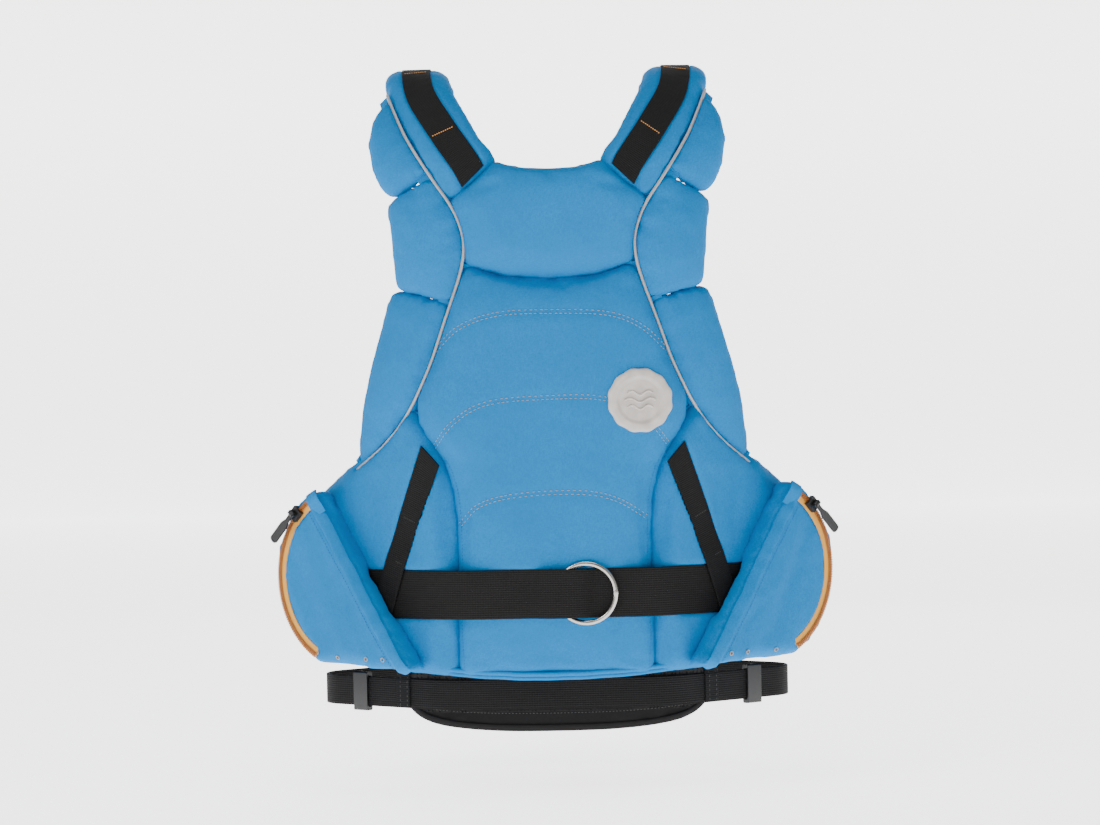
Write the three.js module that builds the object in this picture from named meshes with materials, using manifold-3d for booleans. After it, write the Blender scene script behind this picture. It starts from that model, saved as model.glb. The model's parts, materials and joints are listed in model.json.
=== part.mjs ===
// Whitewater rescue life jacket, modelled as it sits on the body.
// Millimetres. +Z is up, -Y is the wearer's back, +X is the wearer's right.
// The origin lies between the shoulder straps, level with the top of the shoulders they rest on.

import * as THREE from 'three';
import { mergeVertices } from 'three/addons/utils/BufferGeometryUtils.js';
import Module from 'manifold-3d';

const wasm = await Module();
wasm.setup();

// ---------------------------------------------------------------- body block
const chestHalf = 205; // half the width across the lining
const backLength = 508; // top of the shoulder down to the side hem
const backDepth = 100; // arm hole to the lining behind the wearer
const frontDepth = 105; // arm hole to the lining in front
const shoulderRise = 95; // height of the arch over the shoulder
const backFlatHalf = 95; // the flat of the back ends here
const frontFlatHalf = 100; // the flat of the chest ends here
const sideBack = -12; // the straight side starts here
const sideFront = 20; // and ends here
const backRound = 25; // length cut off each side of a corner by its rounding
const sideRound = 15;

// The pattern is drawn for one size and graded to the body block.
const gradeX = chestHalf / 205;
const gradeZ = backLength / 508;

// ------------------------------------------------------------- layer heights
// Heights are measured out from the lining's inner face.
const liningThickness = 1.6;
const layerGap = 0.5; // air between two stacked layers
const seamGap = 1.5; // each panel stops this far from its seam line
const clothWall = 2.4; // wall of a foam-filled cover
const foamGap = 0.9; // between the foam and its cover
const backLoft = 30;
const yokeLoft = 26;
const seamLoft = 14; // every back panel is pinched to this height at its seams
const petalBase = 4;
const petalLoft = 24;
const wingLoft = 20;
const wingEdge = 15;
const strapLoft = 17;
const strapEdge = 13;
const frontLoft = 44;
const frontEdge = 20;

// ------------------------------------------------------------------ hardware
const shoulderWeb = { width: 25.4, thickness: 2 };
const rescueWeb = { width: 42, thickness: 2, z: -445 };
const waistWeb = { width: 26, thickness: 2, z: -533 };
const suspenderWeb = { width: 22, thickness: 1.6 };
const ring = { inner: rescueWeb.width + 4, wire: 4.6, x: 26, leftRise: 33, rightRise: 37 };
const piping = { width: 2.8, lift: 0.4 };
const waistPadThickness = 6;
const pocket = { depth: 24.4, centreP: 75, centreZ: -430, radius: 80, rim: 5, channelRise: 28 };
const zip = { tapeWidth: 9, tape: 1.2, coilWidth: 4, coil: 2.2, start: 57, end: -62, park: 45 };
const slider = { width: 10, length: 11, height: 5, pin: 1.8, pinRise: 7.8, ear: 1.2, play: 0.4 };
const pull = { length: 34, width: 8, thickness: 2, barrel: 4.8 };
const glide = { length: 16, bar: 2, lip: 3.4, play: 0.7 };
const frontPocket = { half: 70, height: 190, aboveBelt: 41, depth: 27, wall: 2.4, door: 4.6 };
const lash = { size: 36, thickness: 3, slotLength: 20, slotWidth: 4, x: 52, abovePocket: 48 };
const housing = { half: 26, depth: 9, wall: 2.8, play: 0.6, beltGap: 4 };
const lever = { length: 40, width: 30, thickness: 3.2, pin: 3, ball: 20 };
const clip = { height: 34, depth: 11, length: 34, prong: 24, play: 0.5, beltGap: 8 };
const badge = { radius: 28, inner: 19, base: 1.6, rim: 3.2, x: 75, z: -281, gap: 0.8 };
const shoulderGlideAngle = 140; // place of the shoulder adjuster round the arch
const waistGlideP = 98; // place of the waist adjuster along the slanted side

// ------------------------------------------------------------------ finishes
const finish = (color, roughness, metalness = 0) =>
  new THREE.MeshStandardMaterial({ color, roughness, metalness });
const blueCloth = finish(0x2fa3dc, 0.75);
const darkCloth = finish(0x1f5f8f, 0.85);
const foam = finish(0xd8d6cf, 0.9);
const blackWeb = finish(0x2c2c2d, 0.8);
const blackMesh = finish(0x242426, 0.9);
const blackPlastic = finish(0x1b1b1c, 0.45);
const greyPiping = finish(0xc8c6c6, 0.4);
const zipOrange = finish(0xc0702a, 0.6);
const steel = finish(0xb9bcc0, 0.25, 1);
const paleRubber = finish(0xd9d5d0, 0.6);
const redPlastic = finish(0xb3261e, 0.45);

// ------------------------------------------------------------- solid helpers
const positionOnly = (geometry) => {
  const bare = geometry.clone();
  for (const name of Object.keys(bare.attributes)) {
    if (name !== 'position') bare.deleteAttribute(name);
  }
  return mergeVertices(bare, 1e-4);
};

// Turns a closed mesh the right way out.
const facingOut = (geometry) => {
  const p = geometry.attributes.position;
  const index = geometry.index.array;
  const [a, b, c] = [new THREE.Vector3(), new THREE.Vector3(), new THREE.Vector3()];
  let volume = 0;
  for (let i = 0; i < index.length; i += 3) {
    a.fromBufferAttribute(p, index[i]);
    b.fromBufferAttribute(p, index[i + 1]);
    c.fromBufferAttribute(p, index[i + 2]);
    volume += a.dot(b.cross(c));
  }
  if (volume < 0) {
    for (let i = 0; i < index.length; i += 3) [index[i], index[i + 1]] = [index[i + 1], index[i]];
  }
  return geometry;
};

const toSolid = (geometry) => {
  const g = facingOut(positionOnly(geometry));
  const vertProperties = new Float32Array(g.attributes.position.array);
  const triVerts = new Uint32Array(g.index.array);
  return new wasm.Manifold(new wasm.Mesh({ numProp: 3, vertProperties, triVerts }));
};

const toGeometry = (solid) => {
  const mesh = solid.getMesh();
  const g = new THREE.BufferGeometry();
  g.setAttribute('position', new THREE.BufferAttribute(mesh.vertProperties, 3));
  g.setIndex(new THREE.BufferAttribute(mesh.triVerts, 1));
  return g;
};

const join = (...pieces) => toGeometry(pieces.map(toSolid).reduce((sum, next) => sum.add(next)));
const cut = (piece, ...tools) =>
  toGeometry(tools.map(toSolid).reduce((rest, tool) => rest.subtract(tool), toSolid(piece)));

const piece = (name, geometry, material) => {
  const mesh = new THREE.Mesh(facingOut(positionOnly(geometry)), material);
  mesh.name = name;
  return mesh;
};

// A block between two corners.
const block = (x0, x1, y0, y1, z0, z1) => {
  const g = new THREE.BoxGeometry(x1 - x0, y1 - y0, z1 - z0);
  return g.translate((x0 + x1) / 2, (y0 + y1) / 2, (z0 + z1) / 2);
};

// A round bar along X.
const barX = (radius, x0, x1, sides = 16) => {
  const bar = new THREE.CylinderGeometry(radius, radius, x1 - x0, sides).rotateZ(Math.PI / 2);
  return bar.translate((x0 + x1) / 2, 0, 0);
};

const roundedRect = (width, height, radius) => {
  const [w, h] = [width / 2, height / 2];
  const shape = new THREE.Shape();
  shape.moveTo(-w + radius, -h);
  shape.lineTo(w - radius, -h).absarc(w - radius, -h + radius, radius, -Math.PI / 2, 0);
  shape.lineTo(w, h - radius).absarc(w - radius, h - radius, radius, 0, Math.PI / 2);
  shape.lineTo(-w + radius, h).absarc(-w + radius, h - radius, radius, Math.PI / 2, Math.PI);
  shape.lineTo(-w, -h + radius).absarc(-w + radius, -h + radius, radius, Math.PI, Math.PI * 1.5);
  return shape;
};

const plate = (shape, depth, curveSegments = 4) =>
  new THREE.ExtrudeGeometry(shape, { depth, bevelEnabled: false, curveSegments });

// --------------------------------------------------------- the body's surface
const torsoSection = () => {
  const corners = [
    [0, -backDepth, 0],
    [backFlatHalf * gradeX, -backDepth, backRound],
    [chestHalf, sideBack, sideRound],
    [chestHalf, sideFront, sideRound],
    [frontFlatHalf * gradeX, frontDepth, backRound],
    [0, frontDepth, 0],
  ].map(([x, y, round]) => ({ at: new THREE.Vector2(x, y), round }));
  const path = new THREE.Path();
  path.moveTo(corners[0].at.x, corners[0].at.y);
  for (let i = 1; i < corners.length - 1; i += 1) {
    const { at, round } = corners[i];
    const toward = (other) => other.clone().sub(at).setLength(round).add(at);
    const start = toward(corners[i - 1].at);
    const end = toward(corners[i + 1].at);
    path.lineTo(start.x, start.y).quadraticCurveTo(at.x, at.y, end.x, end.y);
  }
  return path.lineTo(corners[5].at.x, corners[5].at.y);
};

const sectionSteps = 600;
const sectionPath = torsoSection();
const sectionLength = sectionPath.getLength();
const sectionPoints = sectionPath.getSpacedPoints(sectionSteps);
const sideIndex = sectionPoints.findIndex((p) => p.x > chestHalf - 0.01);
const frontSideIndex = sectionPoints.findLastIndex((p) => p.x > chestHalf - 0.01);

// Point of the section at arc length u from the centre of the back; negative u is the left side.
const sectionAt = (u) => {
  const t = (Math.min(Math.abs(u), sectionLength) / sectionLength) * sectionSteps;
  const i = Math.min(Math.floor(t), sectionSteps - 1);
  const p = sectionPoints[i].clone().lerp(sectionPoints[i + 1], t - i);
  return u < 0 ? p.setX(-p.x) : p;
};

const lengthAt = (x, first, last) => {
  let i = first;
  while (i < last - 1 && (sectionPoints[i + 1].x - x) * Math.sign(sectionPoints[last].x - x) < 0) i += 1;
  const [p, q] = [sectionPoints[i], sectionPoints[i + 1]];
  return ((i + (x - p.x) / (q.x - p.x)) * sectionLength) / sectionSteps;
};
const backU = (x) => lengthAt(x, 0, sideIndex);
const frontU = (x) => lengthAt(x, frontSideIndex, sectionSteps);

// Depth of the section at a given x, behind and in front. The slanted side runs on past its corner.
const backSlope = (sideBack + backDepth) / (chestHalf - backFlatHalf * gradeX);
const backY = (x) => {
  const reach = Math.abs(x);
  return reach > chestHalf - sideRound
    ? sideBack + (reach - chestHalf) * backSlope
    : sectionAt(backU(reach)).y;
};
const frontY = (x) => sectionAt(frontU(Math.min(Math.abs(x), chestHalf - sideRound))).y;

// Level runs up the back, over the shoulder and down the chest. Below the arch's foot it counts
// millimetres down the back as negative; round the arch it counts degrees from 0 to 180; past 180
// it counts millimetres down the chest.
const archFoot = -shoulderRise;
const skin = (x, level) => {
  if (level <= 0) return new THREE.Vector3(x, backY(x), archFoot + level);
  if (level >= 180) return new THREE.Vector3(x, frontY(x), archFoot - (level - 180));
  const angle = THREE.MathUtils.degToRad(level);
  const reach = level < 90 ? backY(x) : -frontY(x);
  return new THREE.Vector3(x, reach * Math.cos(angle), archFoot + shoulderRise * Math.sin(angle));
};

const probe = 0.5; // step for a numeric normal
const outward = (x, level) => {
  const across = skin(x + probe, level).sub(skin(x - probe, level));
  const up = skin(x, level + probe).sub(skin(x, level - probe));
  return across.cross(up).normalize();
};

const over = (x, level, rise) => skin(x, level).addScaledVector(outward(x, level), rise);
const levelAt = (z) =>
  z <= archFoot ? z - archFoot : THREE.MathUtils.radToDeg(Math.asin((z - archFoot) / shoulderRise));
const onBack = (x, z, rise) => over(x, levelAt(z), rise);
const onFront = (x, z, rise) => over(x, 180 - levelAt(z), rise);

// Round the torso below the arm holes, at arc length u.
const around = (u, z, rise) => {
  const along = sectionAt(u + probe).sub(sectionAt(u - probe)).normalize();
  const p = sectionAt(u);
  return new THREE.Vector3(p.x + along.y * rise, p.y - along.x * rise, z);
};

// ------------------------------------------------------------ pattern helpers
const graded = ([x, z]) => new THREE.Vector2(x * gradeX, z * gradeZ);
const drawn = (...points) => points.map(graded);
const through = (points) => {
  const curve = new THREE.SplineCurve(points);
  return (t) => curve.getPoint(t);
};
const mirrored = (edge) => (t) => {
  const p = edge(t);
  return p.setX(-p.x);
};

// Two edges in a row, the first taking the given share of the way.
const chained = (first, second, share) => (t) =>
  t < share ? first(t / share) : second((t - share) / (1 - share));

// Solves rising(t) = target for t between two ends.
const solve = (rising, target, from, to) => {
  let [low, high] = [from, to];
  for (let i = 0; i < 30; i += 1) {
    const middle = (low + high) / 2;
    if (rising(middle) < target) low = middle;
    else high = middle;
  }
  return low;
};

// The stretch of a falling curve between two heights, from the lower to the upper.
const stretch = (edge, lower, upper) => {
  const find = (z) => solve((t) => -edge(t).y, -z, 0, 1);
  const [from, to] = [find(lower * gradeZ), find(upper * gradeZ)];
  return (t) => edge(THREE.MathUtils.lerp(from, to, t));
};

// A panel between two side edges, each drawn from bottom to top, with shaped bottom and top edges.
const panel = (inner, outer, bottomPoints, topPoints) => {
  const bottom = through([inner(0), ...bottomPoints, outer(0)]);
  const top = through([inner(1), ...topPoints, outer(1)]);
  const corners = [inner(0), outer(0), inner(1), outer(1)];
  return (a, b) => {
    const p = inner(b).multiplyScalar(1 - a).addScaledVector(outer(b), a);
    p.addScaledVector(bottom(a), 1 - b).addScaledVector(top(a), b);
    const weights = [(1 - a) * (1 - b), a * (1 - b), (1 - a) * b, a * b];
    corners.forEach((corner, i) => p.addScaledVector(corner, -weights[i]));
    return p;
  };
};

// A block of cols x rows cells, each of its corners put in place by a function of (a, b, c).
const bend = (cols, rows, place) => {
  const g = positionOnly(new THREE.BoxGeometry(1, 1, 1, cols, rows, 1));
  const p = g.attributes.position;
  for (let i = 0; i < p.count; i += 1) {
    const v = place(p.getX(i) + 0.5, p.getY(i) + 0.5, p.getZ(i) + 0.5);
    p.setXYZ(i, v.x, v.y, v.z);
  }
  return facingOut(g);
};

// Rows lie closer together towards the edges.
const eased = (t) => THREE.MathUtils.lerp(t, (1 - Math.cos(Math.PI * t)) / 2, 0.6);
const crown = (t, power) => 1 - Math.abs(2 * t - 1) ** power;

// Height of a crowned panel's outside at (a, b) across it.
const crowned = ({ edge, loft, power = 6 }, a, b) => edge + (loft - edge) * crown(a, power) * crown(b, power);

// A panel with thickness: flat inside, crowned outside and pinched to its edge height.
const padded = (options) => {
  const { shape, place, cols, rows, base, trim = seamGap, skim = 0 } = options;
  const width = shape(0, 0.5).distanceTo(shape(1, 0.5));
  const height = shape(0.5, 0).distanceTo(shape(0.5, 1));
  const inset = (t, size) => THREE.MathUtils.clamp(eased(t), trim / size, 1 - trim / size);
  return bend(cols, rows, (s, t, c) => {
    const [a, b] = [inset(s, width), inset(t, height)];
    const top = crowned(options, eased(s), eased(t)) - skim;
    const p = shape(a, b);
    return place(p.x, p.y, THREE.MathUtils.lerp(base, top, c));
  });
};

// A cloth cover, open towards the body, and the foam that fills it.
const coverAndFoam = (options) => {
  const { base, trim = seamGap, slack = foamGap } = options;
  const inner = { ...options, skim: clothWall, trim: trim + clothWall, base: base - 2 };
  const fill = {
    ...options,
    skim: clothWall + slack,
    trim: trim + clothWall + 1.5 * slack,
    base: base + 2 * slack,
  };
  return { cover: cut(padded(options), padded(inner)), foam: padded(fill) };
};

// A flat strip through stations along a path; place(station, across, rise) puts it on the body.
const strip = (stations, { width, thickness }, rise, place) =>
  bend(stations.length - 1, 1, (a, b, c) => {
    const at = stations[Math.round(a * (stations.length - 1))];
    return place(at, (b - 0.5) * width, rise(at) + (c - 0.5) * thickness);
  });

// A strip that stays flat across its width while its centre line follows the body.
const flatStrip = (centre, count, web, rise) => {
  const stations = Array.from({ length: count + 1 }, (_, i) => i / count);
  return strip(stations, web, rise, (t, across, height) => frameOn(centre, t, height).place(across));
};

// Point, side, run and outward direction of a centre line at parameter t.
const frameOn = (centre, t, height) => {
  const from = centre(Math.max(t - 0.01, 0));
  const to = centre(Math.min(t + 0.01, 1));
  const at = centre(t);
  const run = over(to.x, to.y, height).sub(over(from.x, from.y, height)).normalize();
  const out = outward(at.x, at.y);
  const side = run.clone().cross(out).normalize();
  const origin = over(at.x, at.y, height);
  return { origin, run, out, side, place: (across) => origin.clone().addScaledVector(side, across) };
};

// Carries a cross-section through steps of t from 0 to 1; place(t, x, y) puts each point on the body.
const sweep = (shape, steps, place) => {
  const options = { depth: 1, steps, bevelEnabled: false, curveSegments: 7 };
  const g = positionOnly(new THREE.ExtrudeGeometry(shape, options));
  const p = g.attributes.position;
  for (let i = 0; i < p.count; i += 1) {
    const v = place(p.getZ(i), p.getX(i), p.getY(i));
    p.setXYZ(i, v.x, v.y, v.z);
  }
  return facingOut(g);
};

const spaced = (from, to, step) => {
  const count = Math.max(1, Math.round((to - from) / step));
  return Array.from({ length: count + 1 }, (_, i) => from + ((to - from) * i) / count);
};
const { smoothstep } = THREE.MathUtils;

// ------------------------------------------------------------- pattern pieces
const strapSeam = drawn([44, -74.6], [64, -91], [83.9, -106]);
const pipingEdge = through(
  drawn(
    [135.3, -18], [125.1, -35.2], [112.9, -56.7], [101.4, -76.6], [92.3, -91.5], [83.9, -106],
    [77.1, -122], [72.9, -141], [74.2, -160], [78, -177], [82.9, -194], [89.9, -218], [97.2, -244],
    [104.6, -264], [111.6, -281], [121.6, -298], [138.6, -317], [152.6, -329], [162.6, -337],
  ),
);
const seamTopZ = -286; // where the panel seam leaves the piping
const panelSeamTop = stretch(pipingEdge, seamTopZ, seamTopZ)(0);
const panelSeam = [
  ...drawn([80.5, -517], [82.4, -467], [80.8, -423], [81.7, -370], [86, -342], [93, -325], [103, -308]),
  panelSeamTop,
];

const yokeSeam = drawn([-58, -166], [-40, -171], [0, -174.5], [40, -171], [58, -166]);
const yokeCornerZ = -106; // the strap seam meets the piping
const yokeSeamZ = -160; // the yoke seam meets the piping

const yokeShape = () => {
  const seam = through([...strapSeam].reverse());
  const side = chained(stretch(pipingEdge, yokeSeamZ, yokeCornerZ), seam, 0.52);
  return panel(mirrored(side), side, yokeSeam, drawn([-33, -80.5], [0, -82.5], [33, -80.5]));
};

const backShape = () => {
  const side = chained(through(panelSeam), stretch(pipingEdge, seamTopZ, yokeSeamZ), 0.64);
  return panel(mirrored(side), side, drawn([-40, -518], [0, -518], [40, -518]), yokeSeam);
};

const liningShape = () => {
  const side = through(
    drawn([77, -515], [77, -368], [84, -332], [105, -290], [90, -244], [71, -175], [69, -141], [68, -118]),
  );
  return panel(
    mirrored(side),
    side,
    drawn([-40, -516], [0, -516], [40, -516]),
    drawn([-44, -96], [0, -88], [44, -96]),
  );
};

const petals = [
  {
    name: 'upper',
    inner: stretch(pipingEdge, -80, -19),
    outer: through(drawn([132.3, -93.2], [138.3, -82], [143.1, -66.3], [145.2, -49.8], [140.6, -36.6])),
    bottom: drawn([112.6, -90.5], [122.3, -98], [128.8, -97.5]),
    top: drawn([138.6, -27]),
  },
  {
    name: 'middle',
    inner: stretch(pipingEdge, -192.5, -86),
    outer: through(
      drawn([122.3, -178.5], [124.7, -172], [124.3, -157], [127, -129], [129.3, -113], [126.8, -106.5]),
    ),
    bottom: drawn([95.8, -188.5], [106.6, -184], [115.3, -181.5]),
    top: drawn([110.9, -96], [120.8, -102.5]),
  },
  {
    name: 'lower',
    inner: stretch(pipingEdge, -319, -197),
    outer: through(
      drawn([160.6, -331], [160, -320], [158.3, -301], [155.3, -282], [151.3, -264], [146.3, -244],
        [139.8, -217], [132.3, -194], [127.3, -185.5]),
    ),
    bottom: drawn([153, -326]),
    top: drawn([98.4, -190.5], [110, -186.8], [119.3, -184.5]),
  },
];

const wingShape = () => {
  const behind = (p) => new THREE.Vector2(backU(p.x), p.y);
  const ahead = (x, z) => new THREE.Vector2(frontU(x * gradeX), z * gradeZ);
  const corner = panelSeamTop.clone().add(new THREE.Vector2(0, -2 * seamGap));
  const inner = through([...panelSeam.slice(0, -1), corner].map(behind));
  const outer = through([ahead(152, -508), ahead(152, -420), ahead(152, -336)]);
  const top = [
    ...drawn([121, -302.5], [137, -321.5], [162, -342], [183, -354]).map(behind),
    new THREE.Vector2(backU(chestHalf - 1), -364 * gradeZ),
    ahead(195, -364),
    ahead(172, -352),
  ];
  const bottom = [behind(graded([150, -510])), ahead(200, -508)];
  return panel(inner, outer, bottom, top);
};

const frontShape = () => {
  const side = through(
    drawn([150, -506], [150, -420], [149, -335], [138, -313], [108, -260], [86, -200], [80, -150],
      [84, -122], [91, -97]),
  );
  return panel(
    mirrored(side),
    side,
    drawn([-80, -508], [0, -508], [80, -508]),
    drawn([-70, -97], [-53, -98], [-30, -113], [0, -124], [30, -113], [53, -98], [70, -97]),
  );
};

// Shoulder strap: (x, level) edges from the strap seam on the back to the chest.
const strapShape = () => {
  const level = (p) => new THREE.Vector2(p.x, levelAt(p.y));
  const start = level(strapSeam[0]);
  const climb = (x, share) => new THREE.Vector2(x * gradeX, THREE.MathUtils.lerp(start.y, 90, share));
  const chest = (x, angle) => new THREE.Vector2(x * gradeX, angle);
  const inner = through([
    start, climb(54, 0.09), climb(62, 0.18), climb(70, 0.32), climb(78.4, 0.48), climb(84.6, 0.7),
    climb(88, 1), chest(84, 115), chest(73, 142), chest(61, 162), chest(54, 180),
  ]);
  const shoulderEdge = [0, 0.25, 0.5, 0.75, 1].map(stretch(pipingEdge, -106, -18)).map(level);
  const outer = through([
    ...shoulderEdge, chest(141, 70), chest(143, 90), chest(134, 117), chest(114, 145), chest(98, 164),
    chest(90, 180),
  ]);
  return panel(inner, outer, [level(strapSeam[1])], [chest(72, 180)]);
};

// ------------------------------------------------------------------ back body
const backPanel = () => ({
  shape: backShape(), place: onBack, cols: 12, rows: 16,
  base: liningThickness + layerGap, edge: seamLoft, loft: backLoft, power: 5,
});

const backBody = () => {
  const group = new THREE.Group();
  const yoke = coverAndFoam({
    shape: yokeShape(), place: onBack, cols: 8, rows: 8,
    base: liningThickness + layerGap, edge: seamLoft, loft: yokeLoft, power: 4,
  });
  const back = coverAndFoam(backPanel());
  const lining = padded({
    shape: liningShape(), place: onBack, cols: 12, rows: 8, base: 0,
    edge: liningThickness, loft: liningThickness,
  });
  group.add(
    piece('back_yoke_cover', yoke.cover, blueCloth),
    piece('back_yoke_foam', yoke.foam, foam),
    piece('back_panel_cover', back.cover, blueCloth),
    piece('back_panel_foam', back.foam, foam),
    piece('back_lining', lining, darkCloth),
    piece('badge', badgeGeometry(), paleRubber),
  );
  return group;
};

// Puts a point on the back panel's outside, at x and z as seen from behind and at a height above it.
const onPanel = (options, x, z, height) => {
  const { shape } = options;
  const rowOf = (a) => solve((b) => shape(a, b).y, z, 0, 1);
  const riseOf = (a) => crowned(options, a, rowOf(a)) + height;
  const place = (a) => onBack(shape(a, rowOf(a)).x, z, riseOf(a));
  return place(solve((a) => place(a).x, x, 0.05, 0.98));
};

// A round moulded patch: a flat disc with a raised rim, bent round the back.
const badgeGeometry = () => {
  const { radius, inner, base, rim, gap } = badge;
  const panelOptions = backPanel();
  const profile = [
    [0, 0], [inner, 0], [radius, 0], [radius, rim], [inner + 4, rim],
    [inner, base], [inner / 2, base], [0, base],
  ].map(([r, h]) => new THREE.Vector2(r, h));
  const g = positionOnly(new THREE.LatheGeometry(profile, 20));
  const p = g.attributes.position;
  const centre = graded([badge.x, badge.z]);
  for (let i = 0; i < p.count; i += 1) {
    const v = onPanel(panelOptions, centre.x + p.getX(i), centre.y + p.getZ(i), gap + p.getY(i));
    p.setXYZ(i, v.x, v.y, v.z);
  }
  return g;
};

// ----------------------------------------------------------------- front body
const frontBody = () => {
  const group = new THREE.Group();
  const chest = coverAndFoam({
    shape: frontShape(), place: onFront, cols: 12, rows: 8,
    base: liningThickness + layerGap, edge: frontEdge, loft: frontLoft, power: 10, slack: 2,
  });
  const lining = padded({
    shape: frontShape(), place: onFront, cols: 12, rows: 6, base: 0, trim: 3,
    edge: liningThickness, loft: liningThickness,
  });
  group.add(
    piece('front_cover', chest.cover, blueCloth),
    piece('front_foam', chest.foam, foam),
    piece('front_lining', lining, darkCloth),
    piece('front_pocket_body', frontPocketBody(), blueCloth),
    piece('front_pocket_door', frontPocketDoor(), blueCloth),
    piece('lash_tab', lashTab(), blackPlastic),
    ...frontZip(),
  );
  return group;
};

const chestFace = frontDepth + frontLoft + layerGap;
const pocketBottom = rescueWeb.z * gradeZ + frontPocket.aboveBelt;
const pocketTop = pocketBottom + frontPocket.height;

const frontPocketBody = () => {
  const { half, depth, wall } = frontPocket;
  const outer = block(-half, half, chestFace, chestFace + depth, pocketBottom, pocketTop);
  const inside = block(
    -half + wall, half - wall, chestFace + wall, chestFace + depth + 1,
    pocketBottom + wall, pocketTop - wall,
  );
  return cut(outer, inside);
};

const doorFace = chestFace + frontPocket.depth + layerGap + frontPocket.door;

const frontPocketDoor = () => {
  const { half, height, door } = frontPocket;
  const shape = roundedRect(2 * half, height, 6);
  return plate(shape, door).rotateX(Math.PI / 2).translate(0, doorFace, (pocketTop + pocketBottom) / 2);
};

const lashTab = () => {
  const { size, thickness, slotLength, slotWidth, x, abovePocket } = lash;
  const tab = plate(roundedRect(size, size, 6), thickness);
  const middle = size / 2 - 9;
  const slots = [-middle, middle].map((at) =>
    block(at - slotWidth / 2, at + slotWidth / 2, -slotLength / 2, slotLength / 2, -1, thickness + 1));
  return cut(tab, ...slots).rotateX(Math.PI / 2).translate(x, chestFace + thickness, pocketTop + abovePocket);
};

// ------------------------------------------------------------------- zip parts
// A slider over a coil: x across the zip, y along it, z out from the tape.
const sliderGeometry = () => {
  const { width, length, height, pin, pinRise, ear, play } = slider;
  const [w, l] = [width / 2, length / 2];
  const channel = zip.coilWidth / 2 + play;
  const body = block(-w, w, -l, l, play, height);
  const tunnel = block(-channel, channel, -length, length, -1, zip.coil + play);
  const span = pull.width / 4 + play;
  const ears = [-1, 1].map((side) => {
    const [a, b] = [side * span, side * (span + ear)];
    return block(Math.min(a, b), Math.max(a, b), -pin, pin, height - 0.5, pinRise + pin);
  });
  const axle = barX(pin / 2, -span - ear / 2, span + ear / 2, 10).translate(0, 0, pinRise);
  return cut(join(body, ...ears, axle), tunnel);
};

// The pull hangs on the slider's pin and lies along -y.
const pullGeometry = () => {
  const { length, width, thickness, barrel } = pull;
  const { pin, pinRise, play } = slider;
  const half = width / 4;
  const eye = barX(barrel / 2, -half, half, 14).translate(0, 0, pinRise);
  const bore = barX(pin / 2 + play, -width, width, 10).translate(0, 0, pinRise);
  const tab = new THREE.Shape();
  tab.moveTo(-half, -1).lineTo(-half, -8).lineTo(-width / 2, -14).lineTo(-width / 2, -length + 3);
  tab.quadraticCurveTo(-width / 2, -length, 0, -length);
  tab.quadraticCurveTo(width / 2, -length, width / 2, -length + 3);
  tab.lineTo(width / 2, -14).lineTo(half, -8).lineTo(half, -1);
  const blade = plate(tab, thickness).translate(0, 0, pinRise - thickness / 2);
  return cut(join(eye, blade), bore);
};

// Front pocket zip: a straight coil up the right of the door.
const frontZip = () => {
  const margin = 12;
  const [low, high] = [pocketBottom + margin, pocketTop - margin];
  const x = frontPocket.half - margin;
  const tape = block(-zip.tapeWidth / 2, zip.tapeWidth / 2, low, high, 0, zip.tape);
  const coil = block(-zip.coilWidth / 2, zip.coilWidth / 2, low, high, 0, zip.tape + zip.coil);
  const upright = (g) => {
    const m = new THREE.Matrix4().makeBasis(
      new THREE.Vector3(-1, 0, 0), new THREE.Vector3(0, 0, 1), new THREE.Vector3(0, 1, 0),
    );
    m.setPosition(x, doorFace + layerGap, 0);
    return g.applyMatrix4(m);
  };
  const parkZ = high - slider.length;
  const lifted = (g) => upright(g.translate(0, parkZ, zip.tape));
  return [
    piece('front_pocket_zip', upright(join(tape, coil)), zipOrange),
    piece('front_zip_slider', lifted(sliderGeometry()), blackPlastic),
    piece('front_zip_pull', lifted(pullGeometry()), blackPlastic),
  ];
};

// --------------------------------------------------------------- rescue buckle
const chestBeltRise = frontLoft + layerGap + rescueWeb.thickness / 2 + 1;

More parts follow.
